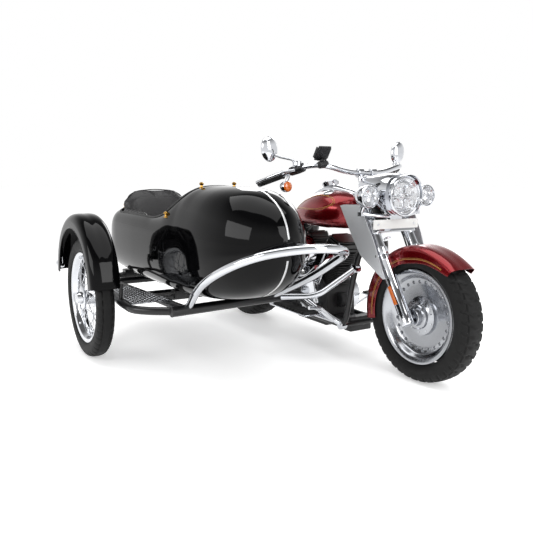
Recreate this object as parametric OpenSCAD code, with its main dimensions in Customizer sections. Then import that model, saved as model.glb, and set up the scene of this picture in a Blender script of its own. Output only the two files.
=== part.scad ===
// Motorcycle with a sidecar on its right-hand side, built up from its separate pieces.
// X points forward, Y to the rider's left and Z up. All sizes are in millimetres.
// The origin is on the ground, under the middle of the machine's bounding box.

/* [Motorcycle] */
// Distance between the two axles
wheelbase = 1638; // [1560:1:1720]
// Angle of the steering axis from the vertical, in degrees
rake = 32; // [28:0.5:34]
// Distance on the ground from the front tyre's contact to the steering axis
trail = 147; // [120:1:170]
// Distance from the rear axle back to the rearmost point
tail_overhang = 440; // [420:1:520]
// Width over the two mirrors
mirror_span = 1000; // [960:1:1100]
// Half the distance between the two fork legs
fork_half = 114; // [112:1:122]
// Height of the tank's seam above the ground
tank_z = 700; // [695:1:730]
// Height of the rider's seat base above the ground
seat_z = 632; // [632:1:650]

/* [Wheels] */
// Outer diameter of the front tyre
front_tyre_d = 642; // [620:1:650]
// Width of the front tyre
front_tyre_w = 140; // [120:1:142]
// Outer diameter of the rear tyre
rear_tyre_d = 652; // [630:1:660]
// Width of the rear tyre
rear_tyre_w = 186; // [150:1:190]
// Flange diameter of the two motorcycle rims
rim_d = 460; // [440:1:470]
// Outer diameter of the sidecar's tyre
side_tyre_d = 648; // [620:1:660]
// Width of the sidecar's tyre
side_tyre_w = 92; // [80:1:100]
// Flange diameter of the sidecar's rim
side_rim_d = 490; // [460:1:500]
// Number of holes in each disc wheel
wheel_holes = 26; // [12:2:32]
// Number of wire spokes in the sidecar's wheel
spokes = 36; // [24:4:40]

/* [Sidecar] */
// Distance from the motorcycle's mid-plane to the sidecar wheel's
track = 1272; // [1250:1:1320]
// How far the sidecar's wheel stands ahead of the rear axle
wheel_lead = 417; // [380:1:430]
// Distance from the motorcycle's mid-plane to the sidecar body's
body_offset = 730; // [722:1:745]
// Width of the sidecar's body at the cockpit
body_w = 524; // [500:1:530]
// Distance from the rear axle to the tip of the nose
nose_x = 1553; // [1520:1:1580]
// Height of the cockpit's side rim
rim_z = 782; // [770:1:800]
// Height of the cowl ahead of the cockpit
cowl_z = 930; // [900:1:940]
// Height of the chassis tubes' centres
chassis_z = 345; // [340:1:350]
// Thickness of the body's wall
wall = 4; // [3:0.5:6]

/* [Hidden] */
$fn = 48;
run_gap = 0.5;      // radial running clearance of an axle in its hub
seat_gap = 0.3;     // gap between two curved pieces that rest on each other
front_r = front_tyre_d / 2;
rear_r = rear_tyre_d / 2;
side_r = side_tyre_d / 2;
body_y = -body_offset;
side_y = -track;
hub_half = 72;      // half the sidecar hub's length, over its cap
fender_half = 78;   // half the sidecar fender's width
left_y = mirror_span / 2;
right_y = -(track + fender_half);
origin_x = (wheelbase + front_r - tail_overhang) / 2;
origin_y = (left_y + right_y) / 2;

// Steering axis: the point on it at a given height, and its upward direction.
axis_foot = wheelbase + trail;
axis_dir = [-sin(rake), 0, cos(rake)];
fork_offset = (axis_foot - front_r * tan(rake) - wheelbase) * -cos(rake);
function axis_x(z) = axis_foot - z * tan(rake);
function fork_x(z) = axis_x(z) + fork_offset / cos(rake);
head_low = 705;
head_high = 845;
stem_r = 19;
head_bore = stem_r + run_gap;

// Vectors and paths for bent tubes.
function unit(v) = v / norm(v);
function lerp(a, b, t) = a + (b - a) * t;
// A corner turned into an arc: the parabola that touches both legs at distance r.
function corner(a, b, c, r, n) = let (
    d = min(r, norm(a - b) / 2.05, norm(c - b) / 2.05),
    p = b + unit(a - b) * d,
    q = b + unit(c - b) * d
) [for (i = [0:n]) let (t = i / n) lerp(lerp(p, b, t), lerp(b, q, t), t)];
function rounded(pts, r, n = 4) = [
    pts[0],
    for (i = [1:1:len(pts) - 2]) each corner(pts[i - 1], pts[i], pts[i + 1], r, n),
    pts[len(pts) - 1]
];
function tangent(p, i) = unit(
    (i < len(p) - 1 ? unit(p[i + 1] - p[i]) : [0, 0, 0])
    + (i > 0 ? unit(p[i] - p[i - 1]) : [0, 0, 0])
);
function flip_y(pts) = [for (p = pts) [p.x, -p.y, p.z]];

// Directions along a path, each with a side vector that never twists.
function frames(p) = let (t0 = tangent(p, 0)) [
    for (
        i = 0, u = unit(cross(t0, abs(t0.z) < 0.9 ? [0, 0, 1] : [1, 0, 0]));
        i < len(p);
        i = i + 1, u = i < len(p) ? unit(u - tangent(p, i) * (u * tangent(p, i))) : u
    ) [tangent(p, i), u]
];
// A round bar along a path.
module sweep(path, r, sides = 12) {
    f = frames(path);
    skin([for (i = [0:len(path) - 1]) let (v = cross(f[i][0], f[i][1])) [
        for (k = [0:sides - 1]) let (a = 360 * k / sides)
            path[i] + r * (cos(a) * f[i][1] + sin(a) * v)
    ]]);
}
module tube(pts, r, bend = 60, n = 4, sides = 12) sweep(rounded(pts, bend, n), r, sides);
// A straight round bar between two points, with true round faces.
module rod(a, b, r) {
    d = b - a;
    translate(a) rotate([0, acos(d.z / norm(d)), atan2(d.y, d.x)]) cylinder(h = norm(d), r = r);
}
module both_sides() { children(); mirror([0, 1, 0]) children(); }
// Turns what is drawn in XY, revolved about Z, to spin about Y.
module on_axle(x, y, z) translate([x, y, z]) rotate([90, 0, 0]) children();
module place() translate([-origin_x, -origin_y, 0]) children();

// A closed skin through rings of equal length.
module skin(rings) {
    n = len(rings[0]);
    m = len(rings);
    polyhedron(
        points = [for (r = rings) each r],
        faces = [
            [for (i = [0:n - 1]) i],
            for (j = [0:m - 2]) for (i = [0:n - 1]) let (k = (i + 1) % n) each [
                [j * n + k, j * n + i, (j + 1) * n + i],
                [j * n + k, (j + 1) * n + i, (j + 1) * n + k]
            ],
            [for (i = [n - 1:-1:0]) (m - 1) * n + i]
        ]
    );
}
// One ring across X: half width w, heights from zb through the widest zm to zt,
// and how square its lower (eb) and upper (et) corners are.
function power(v, e) = sign(v) * pow(abs(v), 2 / e);
function ring(x, y, w, zb, zm, zt, eb, et, n = 40) = [
    for (i = [0:n - 1]) let (
        a = 360 * i / n,
        upper = sin(a) >= 0
    ) [x, y + w * power(cos(a), upper ? et : eb),
        zm + (upper ? zt - zm : zm - zb) * power(sin(a), upper ? et : eb)]
];

// ---------------------------------------------------------------- wheels

tyre_bead = 18;     // how far the tyre's bead sits below the rim's flange

// The true section of a tyre: flat sides, a round crown and an inner well that takes the rim.
module tyre_section(d, w, bead_d) {
    inner = bead_d / 2;
    outer = d / 2;
    corner = min(w * 0.3, (outer - inner) * 0.62);
    intersection() {
        union() {
            translate([inner - tyre_bead, -w * 0.42]) square([outer - inner + tyre_bead - corner, w * 0.84]);
            translate([inner + 6, -w / 2]) square([outer - inner - 6 - corner, w]);
            translate([outer - corner - 1, -w / 2 + corner]) square([corner + 1, w - 2 * corner]);
            for (s = [-1, 1]) translate([outer - corner, s * (w / 2 - corner)]) circle(r = corner);
        }
        translate([inner - tyre_bead, -w / 2]) square([outer - inner + tyre_bead, w]);
    }
}
module revolved_tyre(d, w, bead_d) rotate_extrude() tyre_section(d, w, bead_d);

// Solid disc wheel: barrel with two flanges, dished disc with a ring of holes, stepped hub.
module disc_wheel(flange_d, barrel_w, hub_half_w, hole_ring) {
    fr = flange_d / 2;
    seat_r = fr - tyre_bead - seat_gap;
    difference() {
        rotate_extrude() difference() {
            union() {
                translate([seat_r - 8, -barrel_w / 2]) square([8, barrel_w]);
                for (s = [-1, 1]) translate([seat_r - 8, s > 0 ? barrel_w / 2 : -barrel_w / 2 - 6])
                    square([8 + tyre_bead, 6]);
                translate([0, -9]) square([seat_r - 4, 18]);
                translate([0, -26]) square([92, 52]);
                translate([0, -hub_half_w]) square([46, hub_half_w * 2]);
            }
            translate([-1, -hub_half_w - 1]) square([1 + axle_r + run_gap, hub_half_w * 2 + 2]);
        }
        for (i = [0:wheel_holes - 1]) rotate(360 * i / wheel_holes)
            translate([hole_ring, 0, -30]) cylinder(h = 60, r = 8);
    }
}
axle_r = 12;
front_hub = 76;
rear_hub = 100;
front_disc_y = 66;
belt_y = 107;
belt_w = 12;
pulley_r = 128;

module front_rim() color("silver") place() on_axle(wheelbase, 0, front_r) {
    disc_wheel(rim_d, 98, front_hub, 164);
    difference() {
        translate([0, 0, -front_disc_y - 5]) cylinder(h = 5, r = 146);
        translate([0, 0, -front_disc_y - 6]) cylinder(h = 7, r = 45.9);
    }
}
module front_tyre() color("dimgray") place() on_axle(wheelbase, 0, front_r)
    revolved_tyre(front_tyre_d, front_tyre_w, rim_d);
module rear_rim() color("silver") place() on_axle(0, 0, rear_r) {
    disc_wheel(rim_d, 150, rear_hub, 164);
    rotate_extrude() translate([40, -belt_y - belt_w / 2]) square([pulley_r - 40, belt_w]);
    rotate_extrude() translate([axle_r + run_gap, -belt_y - belt_w]) square([30, belt_y + belt_w - rear_hub + 2]);
    rotate_extrude() translate([axle_r + run_gap, rear_hub - 2]) square([30, 12]);
    rotate_extrude() translate([40, rear_hub + 4]) square([105, 5]);
}
module rear_tyre() color("dimgray") place() on_axle(0, 0, rear_r)
    revolved_tyre(rear_tyre_d, rear_tyre_w, rim_d);

// Wire wheel: rolled rim, drum hub and crossed spokes.
side_rim_w = 66;
side_hub_r = 62;
side_seat_r = side_rim_d / 2 - tyre_bead - seat_gap;
module on_side_axle() place() on_axle(wheel_lead, side_y, side_r) children();
module side_rim() color("silver") on_side_axle() rotate_extrude() {
    translate([side_seat_r - 5, -side_rim_w / 2]) square([5, side_rim_w]);
    for (s = [0, 1]) translate([side_seat_r - 5, s > 0 ? side_rim_w / 2 : -side_rim_w / 2 - 4])
        square([5 + tyre_bead, 4]);
}
module side_hub() color("silver") on_side_axle() rotate_extrude() {
    translate([axle_r + run_gap, -45]) square([side_hub_r - axle_r - run_gap, 90]);
    translate([axle_r + run_gap, 40]) square([30, hub_half - 40]);
}
module side_spokes() color("silver") on_side_axle() for (i = [0:spokes - 1]) {
    side = i % 2 == 0 ? 1 : -1;
    lean = floor(i / 2) % 2 == 0 ? 1 : -1;
    a = 360 * i / spokes;
    rod([(side_hub_r - 6) * cos(a + lean * 52), (side_hub_r - 6) * sin(a + lean * 52), side * 34],
        [(side_seat_r - 3) * cos(a), (side_seat_r - 3) * sin(a), side * 6], 2.4);
}
module side_tyre() color("dimgray") place() on_axle(wheel_lead, side_y, side_r)
    revolved_tyre(side_tyre_d, side_tyre_w, side_rim_d);

// ---------------------------------------------------------------- motorcycle chassis

rail_y = 130;       // lower frame rails, left and right of the mid-plane
rail_z = 190;
rail_r = 16;
post_x = 500;       // upright behind the gearbox, with the swingarm's pivot
pivot_z = 335;
leg_y = 155;        // swingarm legs

module main_frame() color("black") place() difference() {
    union() {
        tube([[axis_x(790), 0, 790], [1120, 0, 775], [720, 0, 728], [post_x - 20, 0, 600]], 24, 120, sides = 14);
        both_sides() {
            tube([[axis_x(740), 8, 740], [1262, 90, 600], [1232, 112, 420], [1205, rail_y, rail_z],
                [post_x - 20, rail_y, rail_z], [post_x - 30, rail_y, 600], [post_x - 5, 20, 600]], rail_r, 60);
            tube([[post_x - 30, rail_y - 8, 590], [330, 134, 600], [150, 134, 612]], 13, 40);
        }
        for (x = [1190, 560]) hull() for (s = [-1, 1]) translate([x, s * rail_y, rail_z]) sphere(r = 12, $fn = 12);
        // pivot lugs that carry the swingarm
        both_sides() hull() {
            translate([post_x - 30, rail_y + 2, pivot_z]) rotate([90, 0, 0]) cylinder(h = 24, r = 30, center = true, $fn = 24);
            translate([post_x - 30, rail_y + 2, pivot_z + 60]) rotate([90, 0, 0]) cylinder(h = 20, r = 16, center = true, $fn = 16);
        }
    }
    // seat for the steering head
    rod([axis_x(head_low - 30), 0, head_low - 30], [axis_x(head_high + 30), 0, head_high + 30], 32 + seat_gap);
}
module steering_head() color("black") place() difference() {
    rod([axis_x(head_low), 0, head_low], [axis_x(head_high), 0, head_high], 32);
    rod([axis_x(head_low - 20), 0, head_low - 20], [axis_x(head_high + 20), 0, head_high + 20], head_bore);
}
// Triangulated swingarm: lower legs from the pivot to the axle, upper legs to the seat post.
module swingarm() color("black") place() {
    difference() {
        union() {
            both_sides() {
                tube([[post_x - 30, 60, pivot_z], [post_x - 75, 60, pivot_z], [post_x - 110, leg_y, pivot_z], [0, leg_y, rear_r]], 15, 40);
                tube([[20, leg_y, rear_r + 15], [150, leg_y, 470], [300, leg_y - 6, 545]], 12, 40);
                hull() {
                    translate([0, leg_y, rear_r]) rotate([90, 0, 0]) cylinder(h = 28, r = 34, center = true, $fn = 24);
                    translate([60, leg_y, rear_r + 8]) rotate([90, 0, 0]) cylinder(h = 24, r = 18, center = true, $fn = 16);
                }
            }
            hull() for (s = [-1, 1]) translate([post_x - 30, s * 104, pivot_z]) sphere(r = 22, $fn = 16);
            // rear brake caliper on the right leg
            hull() for (x = [105, 150]) translate([x, -leg_y + 22, rear_r + 62]) sphere(r = 20, $fn = 16);
            hull() for (z = [10, 60]) translate([115, -leg_y + 4, rear_r + z]) sphere(r = 13, $fn = 12);
        }
        on_axle(0, 0, rear_r) cylinder(h = 500, r = axle_r + seat_gap, center = true, $fn = 32);
        on_axle(0, 0, rear_r) translate([0, 0, 96]) cylinder(h = 20, r = 150, $fn = 48);
    }
}
module rear_axle() color("silver") place() on_axle(0, 0, rear_r) {
    cylinder(h = 360, r = axle_r, center = true);
    for (s = [0, 1]) mirror([0, 0, s]) translate([0, 0, 170]) cylinder(h = 12, r = 19);
}

// ---------------------------------------------------------------- engine

crank = [870, 0, 268];
vee = 22.5;         // each cylinder leans this far from the vertical
module crankcase() color("dimgray") place() difference() {
    union() {
        hull() {
            translate([crank.x, 0, crank.z + 20]) rotate([90, 0, 0]) cylinder(h = 200, r = 135, center = true, $fn = 40);
            translate([crank.x - 40, 0, 165]) cube([330, 190, 60], center = true);
        }
        // gearbox
        hull() {
            translate([600, 0, 300]) cube([150, 190, 170], center = true);
            translate([610, 0, 240]) cube([150, 190, 90], center = true);
        }
        translate([715, 0, 290]) cube([90, 170, 120], center = true);
        // primary drive cover on the left
        hull() {
            translate([crank.x, 140, crank.z + 20]) rotate([90, 0, 0]) cylinder(h = 84, r = 105, center = true, $fn = 40);
            translate([600, 140, 310]) rotate([90, 0, 0]) cylinder(h = 84, r = 95, center = true, $fn = 40);
        }
        // timing cover on the right
        hull() {
            translate([crank.x + 10, -118, crank.z]) rotate([90, 0, 0]) cylinder(h = 50, r = 78, center = true, $fn = 40);
            translate([crank.x, -118, crank.z + 95]) rotate([90, 0, 0]) cylinder(h = 40, r = 66, center = true, $fn = 40);
        }
        translate([crank.x + 150, 0, 285]) rotate([90, 0, 0]) cylinder(h = 60, r = 42, center = true, $fn = 24);
        hull() for (z = [150, 215]) translate([1155, 0, z]) cube([60, 150, 20], center = true);
        translate([960, -60, 165]) cube([200, 120, 40]);
    }
    both_sides() rod([1240, rail_y, rail_z], [440, rail_y, rail_z], rail_r + 1.5, $fn = 16);
    for (x = [1190, 560]) rod([x, -150, rail_z], [x, 150, rail_z], 13.5, $fn = 16);
}
// Finned barrels and heads of the two cylinders, with a rocker box on each.
module cylinders() color("dimgray") place() {
    for (s = [-1, 1]) translate(crank) rotate([0, s * vee, 0]) difference() {
        union() {
            translate([0, 0, 110]) cylinder(h = 120, r = 62);
            for (i = [0:8]) translate([0, 0, 152 + i * 13]) cylinder(h = 6, r = 80);
            translate([-74, -84, 262]) cube([148, 168, 12]);
            translate([-60, -70, 230]) cube([120, 140, 120]);
            for (i = [0:4]) translate([-72, -84, 282 + i * 12]) cube([144, 168, 5]);
            translate([-68, -92, 345]) cube([136, 184, 58]);
        }
        translate([-s * 200, 0, 0]) rotate([0, -s * vee, 0]) cube([400, 400, 2 * 134 + 40], center = true);
    }
}

module air_cleaner() color("silver") place() on_axle(crank.x, 0, 560) {
    translate([0, 0, -20]) cylinder(h = 180, r = 34);
    translate([0, 0, 150]) cylinder(h = 50, r = 92);
    translate([0, 0, 200]) cylinder(h = 22, r1 = 98, r2 = 84);
    translate([0, 0, 196]) cylinder(h = 8, r = 100);
}
exhaust_y = -250;
muffler_r = 42;
muffler_low = 285;
muffler_high = 384;
module exhaust_pipes() color("silver") place() difference() {
    union() {
        tube([[1010, -85, 560], [1092, -140, 545], [1108, exhaust_y + 8, 480], [1030, exhaust_y, 424],
            [620, exhaust_y, muffler_high]], 22, 50);
        tube([[735, -85, 548], [690, -150, 545], [728, -188, 430], [700, -196, 330],
            [610, exhaust_y, muffler_low]], 20, 50);
        for (z = [muffler_low, muffler_high]) {
            rod([640, exhaust_y, z], [-240, exhaust_y, z + 14], muffler_r);
            rod([700, exhaust_y, z - 1], [640, exhaust_y, z], 30);
        }
        translate([470, exhaust_y, 320]) cube([30, 130, 26]);
        translate([-60, exhaust_y - 12, 312]) cube([30, 24, 60]);
    }
    for (z = [muffler_low, muffler_high]) rod([-180, exhaust_y, z + 13], [-260, exhaust_y, z + 14.3], muffler_r - 4);
}
module oil_tank() color("black") place() {
    for (y = [0]) hull() for (sx = [372, 440]) for (sy = [-88, 88]) for (sz = [430, 585])
        translate([sx, sy, sz]) sphere(r = 17, $fn = 16);
    both_sides() translate([446, 80, 490]) cube([24, 46, 40]);
}
board_x = 850;
board_len = 330;
board_y = 275;
board_z = 262;
module footboards() color("black") place() both_sides() {
    translate([board_x, board_y, board_z]) cube([board_len, 100, 14]);
    translate([board_x + 6, board_y + 6, board_z + 12]) cube([board_len - 12, 88, 8]);
    for (x = [board_x + 60, board_x + 270]) rod([x, rail_y, rail_z + 4], [x, board_y + 30, board_z + 4], 9);
    // pedal on its arm
    rod([board_x + 300, rail_y, rail_z + 6], [board_x + 352, board_y + 20, board_z + 44], 8);
    rod([board_x + 352, board_y + 20, board_z + 44], [board_x + 352, board_y + 92, board_z + 52], 9);
}

// ---------------------------------------------------------------- tank, seats, rear end

tank_rows = [ // x, half width, bottom, widest height, top (heights above the seam), lower and upper squareness
    [640, 58, 8, 36, 62, 2.4, 2.2], [668, 96, 0, 42, 96, 2.6, 2.2], [720, 128, -5, 52, 140, 2.8, 2.2],
    [800, 152, -7, 62, 180, 3, 2.2], [880, 166, -7, 72, 200, 3, 2.3], [970, 171, -7, 82, 208, 3, 2.3],
    [1050, 160, -4, 88, 202, 2.8, 2.3], [1105, 134, 2, 92, 186, 2.6, 2.3], [1140, 98, 16, 94, 166, 2.4, 2.2],
    [1158, 58, 40, 95, 140, 2.2, 2.2]
];
module fuel_tank() color("firebrick") place()
    skin([for (r = tank_rows) ring(r[0], 0, r[1], tank_z + r[2], tank_z + r[3], tank_z + r[4], r[5], r[6])]);
console_rows = [ // x, half width, bottom, widest height, top
    [668, 18, 60, 84, 104], [720, 32, 100, 132, 154], [800, 44, 140, 178, 204], [880, 52, 150, 200, 232],
    [950, 52, 160, 206, 236], [1020, 38, 170, 205, 222], [1080, 26, 160, 192, 208], [1112, 14, 150, 178, 190]
];
module tank_console() color("silver") place() {
    skin([for (r = console_rows) ring(r[0], 0, r[1], tank_z + r[2], tank_z + r[3], tank_z + r[4], 2.2, 2.4, 24)]);
    translate([885, 0, tank_z + 226]) rotate([0, -18, 0]) cylinder(h = 22, r = 46);
    for (s = [-1, 1]) translate([985, s * 86, tank_z + 176]) rotate([s * -22, 6, 0]) cylinder(h = 26, r = 30);
}
rider_rows = [ // x, half width, height of the widest line and of the top above the base
    [288, 128, 66, 118], [318, 158, 50, 96], [380, 176, 36, 66], [470, 182, 32, 58], [560, 168, 34, 66],
    [620, 134, 38, 78], [654, 96, 44, 84]
];
module rider_seat() color("black") place()
    skin([for (r = rider_rows) ring(r[0], 0, r[1], seat_z, seat_z + r[2], seat_z + r[3], 4, 3.2, 32)]);
pillion_rows = [ // x, half width, bottom, widest line, top above the rider's seat base
    [-42, 84, 60, 86, 112], [-20, 104, 46, 86, 126], [60, 114, 52, 90, 134], [150, 118, 44, 92, 138],
    [240, 116, 10, 90, 140], [282, 106, -8, 84, 134]
];
module passenger_seat() color("black") place()
    skin([for (r = pillion_rows) ring(r[0], 0, r[1], seat_z + r[2], seat_z + r[3], seat_z + r[4], 4, 3, 32)]);

// Fender: a channel of sheet bent round an axle.
module channel(r_in, half, skirt, t, c) {
    outer = r_in + t;
    difference() {
        rounded_channel(outer, half, skirt + t, c);
        rounded_channel(r_in, half - t, skirt + t + 1, c - t);
    }
}
module rounded_channel(r, half, depth, c) intersection() {
    union() {
        translate([r - depth, -half]) square([depth - c, half * 2]);
        translate([r - c - 0.5, -half + c]) square([c + 0.5, half * 2 - 2 * c]);
        for (s = [-1, 1]) translate([r - c, s * (half - c)]) circle(r = c);
    }
    translate([r - depth, -half]) square([depth, half * 2]);
}
module fender(r_in, half, skirt, t, c, from, to)
    rotate([0, 0, from]) rotate_extrude(angle = to - from) channel(r_in, half, skirt, t, c);
rear_fender_r = 348;
module rear_fender() color("firebrick") place() {
    on_axle(0, 0, rear_r) fender(rear_fender_r, 116, 78, 4, 40, 38, 166);
    both_sides() translate([165, 110, 592]) cube([90, 14, 34]);
    both_sides() translate([-150, 112, 560]) cube([300, 8, 30]);
}
tail_z = 470;
plate_pitch = 190;  // between the rear plate's two screw holes
plate_hole_r = 3;
module tail_lamp() color("red") place() {
    rod([-300, 0, tail_z + 60], [-392, 0, tail_z + 56], 40);
    rod([-360, -150, tail_z + 2], [-360, 150, tail_z + 2], 8);
    rod([-330, 0, tail_z + 2], [-366, 0, tail_z + 2], 26);
    for (s = [-1, 1]) rod([-322, s * 150, tail_z + 2], [-392, s * 150, tail_z + 2], 26);
}
module rear_number_plate() color("white") place() {
    difference() {
        translate([-tail_overhang, -120, tail_z - 130]) cube([3, 240, 110]);
        for (s = [-1, 1]) translate([-tail_overhang - 1, s * plate_pitch / 2, tail_z - 75]) rotate([0, 90, 0])
            cylinder(h = 5, r = plate_hole_r);
    }
    translate([-tail_overhang + 3, -30, tail_z - 60]) cube([tail_overhang - 363, 60, 30]);
    translate([-tail_overhang + 70, -20, tail_z - 60]) cube([20, 40, 60]);
}
module drive_belt() color("black") place() for (s = [-1, 1])
    hull() {
        translate([6, belt_y, rear_r + s * (pulley_r + 5)]) cube([12, belt_w, 5], center = true);
        translate([540, belt_y, 318 + s * 46]) cube([12, belt_w, 5], center = true);
    }
stand_x = 760;
stand_z = 163;
stand_len = 148;
stand_pin_r = 8;
module stand_bracket() color("black") place() {
    translate([stand_x - 16, 112, stand_z - 12]) cube([32, 36, 24]);
    on_axle(stand_x, 0, stand_z) translate([0, 0, -184]) cylinder(h = 60, r = stand_pin_r);
    on_axle(stand_x, 0, stand_z) translate([0, 0, -188]) cylinder(h = 6, r = 14);
}
module side_stand() color("silver") place() difference() {
    union() {
        on_axle(stand_x, 0, stand_z) translate([0, 0, -178]) cylinder(h = 24, r = 18);
        rod([stand_x - 12, 166, stand_z], [stand_x - stand_len + 8, 166, stand_z], 9);
        translate([stand_x - stand_len, 154, stand_z - 16]) cube([10, 50, 32]);
    }
    on_axle(stand_x, 0, stand_z) translate([0, 0, -190]) cylinder(h = 60, r = stand_pin_r + run_gap);
}

// ---------------------------------------------------------------- steering

// The steering axis as local Z, with the ground point as origin.
module on_steer() place() translate([axis_foot, 0, 0]) rotate([0, -rake, 0]) children();
function along(z) = z / cos(rake);
wheel_s = trail * sin(rake) + front_r * cos(rake);
low_s = along(head_low);
high_s = along(head_high);
clamp_h = 34;
clamp_gap = 8;
slider_r = 31;
leg_r = 26;
seam_s = wheel_s + 368;
top_s = high_s + clamp_gap + clamp_h + 20;
module triple_clamps() color("silver") on_steer() {
    for (s = [low_s - clamp_gap - clamp_h, high_s + clamp_gap]) hull() {
        translate([0, 0, s]) cylinder(h = clamp_h, r = 36, $fn = 32);
        for (y = [-1, 1]) translate([fork_offset, y * fork_half, s]) cylinder(h = clamp_h, r = 38, $fn = 32);
    }
    translate([0, 0, low_s - clamp_gap - 4]) cylinder(h = high_s - low_s + 2 * clamp_gap + 8, r = stem_r);
}
caliper_s = wheel_s + 60;
module fork_legs() color("silver") on_steer() {
    for (y = [-1, 1]) translate([fork_offset, y * fork_half, 0]) {
        translate([0, 0, wheel_s - 38]) cylinder(h = seam_s - wheel_s + 38, r = slider_r);
        translate([0, 0, seam_s - 5]) cylinder(h = top_s - seam_s + 5, r = leg_r);
        translate([0, 0, seam_s - 26]) cylinder(h = 26, r = slider_r + 3);
        translate([0, 0, top_s - 2]) cylinder(h = 12, r = 20);
    }
    // brake caliper behind the left leg, with a slot for the disc
    difference() {
        translate([fork_offset - 164, 48, caliper_s - 50]) cube([92, 66, 100]);
        translate([fork_offset - 152, 60, caliper_s - 60]) cube([100, 17, 120]);
    }
    translate([fork_offset - 76, 84, caliper_s - 30]) cube([76, 30, 60]);
}
module front_axle() color("silver") place() on_axle(wheelbase, 0, front_r) {
    cylinder(h = 2 * fork_half + 20, r = axle_r, center = true);
    for (s = [0, 1]) mirror([0, 0, s]) translate([0, 0, fork_half + 10]) cylinder(h = 12, r = 22);
}
front_fender_r = 342;
front_fender_half = 80;
module front_fender() color("firebrick") {
    place() on_axle(wheelbase, 0, front_r) fender(front_fender_r, front_fender_half, 80, 3, 38, 48, 192);
    on_steer() for (s = [0, 1]) mirror([0, s, 0])
        translate([fork_offset - 20, front_fender_half - 1.5, wheel_s + 215]) cube([40, fork_half - front_fender_half - 8, 90]);
}
// Polished plate outboard of each fork leg, on two stays.
module wind_deflectors() color("silver") place() both_sides() {
    hull() {
        translate([1224, 192, 832]) sphere(r = 2, $fn = 8);
        translate([1352, 178, 838]) sphere(r = 2, $fn = 8);
        translate([1440, 166, 690]) sphere(r = 2, $fn = 8);
        translate([1524, 152, 494]) sphere(r = 2, $fn = 8);
        translate([1366, 166, 600]) sphere(r = 2, $fn = 8);
    }
    for (z = [600, 790]) rod([fork_x(z), fork_half + 10, z], [fork_x(z), lerp(158, 186, (z - 600) / 190), z], 8);
}
lamp_z = 891;
lamp_face = 1468;
nacelle_rows = [ // x, half width, bottom, widest height, top
    [1202, 56, 915, 945, 975], [1226, 82, 892, 936, 986], [1290, 100, 866, 920, 992],
    [1360, 112, 826, 905, 999], [1420, 117, 792, 893, 1003], [1462, 112, 786, 891, 1000]
];
module headlamp_nacelle() color("silver") difference() {
    place() skin([for (r = nacelle_rows) ring(r[0], 0, r[1], r[2], r[3], r[4], 2.5, 2.5, 32)]);
    on_steer() translate([0, 0, low_s]) cylinder(h = high_s - low_s + clamp_gap / 2, r = 42);
}
module headlamp() color("white") place() {
    rod([lamp_face - 40, 0, lamp_z], [lamp_face + 14, 0, lamp_z], 101);
    rod([lamp_face + 13, 0, lamp_z], [lamp_face + 24, 0, lamp_z], 90);
    rod([lamp_face + 23, 0, lamp_z], [lamp_face + 32, 0, lamp_z], 66);
}
module passing_lamps() color("silver") place() {
    tube([[1372, -196, 806], [1400, -110, 790], [1418, 0, 784], [1400, 110, 790], [1372, 196, 806]], 12, 60);
    both_sides() {
        rod([1384, 190, 889], [1446, 190, 889], 56);
        rod([1350, 190, 889], [1386, 190, 889], 40);
        rod([1376, 190, 800], [1400, 190, 850], 10);
        rod([fork_x(800), fork_half, 800], [1400, fork_half - 12, 792], 11);
    }
}
module front_number_plate() color("white") place() {
    translate([1426, -150, 726]) cube([3, 300, 48]);
    translate([1410, -40, 760]) cube([17, 80, 34]);
}
bar_pts = [[1186, 0, 1000], [1186, 120, 1004], [1166, 262, 1042], [1090, 318, 1036], [1010, 344, 1010], [826, 444, 940]];
bar_r = 14;
module handlebar() color("silver") place() both_sides() {
    tube(bar_pts, bar_r, 60);
    rod([1224, 44, 880], [1188, 44, 1004], 15);
}
module hand_controls() color("black") place() both_sides() {
    rod([955, 374, 989], [822, 446, 938.5], 19);
    hull() {
        translate([1060, 322, 1024]) sphere(r = 24, $fn = 16);
        translate([985, 356, 1002]) sphere(r = 24, $fn = 16);
        translate([1040, 350, 1046]) sphere(r = 18, $fn = 16);
    }
    // lever
    tube([[1040, 356, 1014], [1000, 410, 1002], [920, 462, 968], [858, 478, 946]], 7, 50, sides = 8);
}
mirror_z = 1110;
mirror_x = 940;
module mirrors() color("silver") place() both_sides() {
    hull() {
        translate([mirror_x - 10, left_y - 47, mirror_z + 30]) rotate([0, 90, 0]) cylinder(h = 20, r = 47);
        translate([mirror_x - 10, left_y - 58, mirror_z - 16]) rotate([0, 90, 0]) cylinder(h = 20, r = 38);
        translate([mirror_x + 18, left_y - 50, mirror_z + 10]) rotate([0, 90, 0]) cylinder(h = 6, r = 28);
    }
    rod([1030, 352, 1036], [mirror_x + 10, left_y - 74, mirror_z - 20], 7);
}
module front_turn_signals() color("orange") place() both_sides() {
    rod([952, 384, 926], [1014, 370, 928], 29);
    rod([1013, 370, 928], [1030, 366, 929], 20);
    rod([985, 376, 930], [992, 354, 1002], 8);
}
module phone_holder() color("black") place() {
    translate([1138, -310, 1056]) rotate([0, -32, 0]) cube([14, 84, 92]);
    rod([1164, -264, 1040], [1140, -268, 1074], 12);
}

// ---------------------------------------------------------------- sidecar chassis

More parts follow.
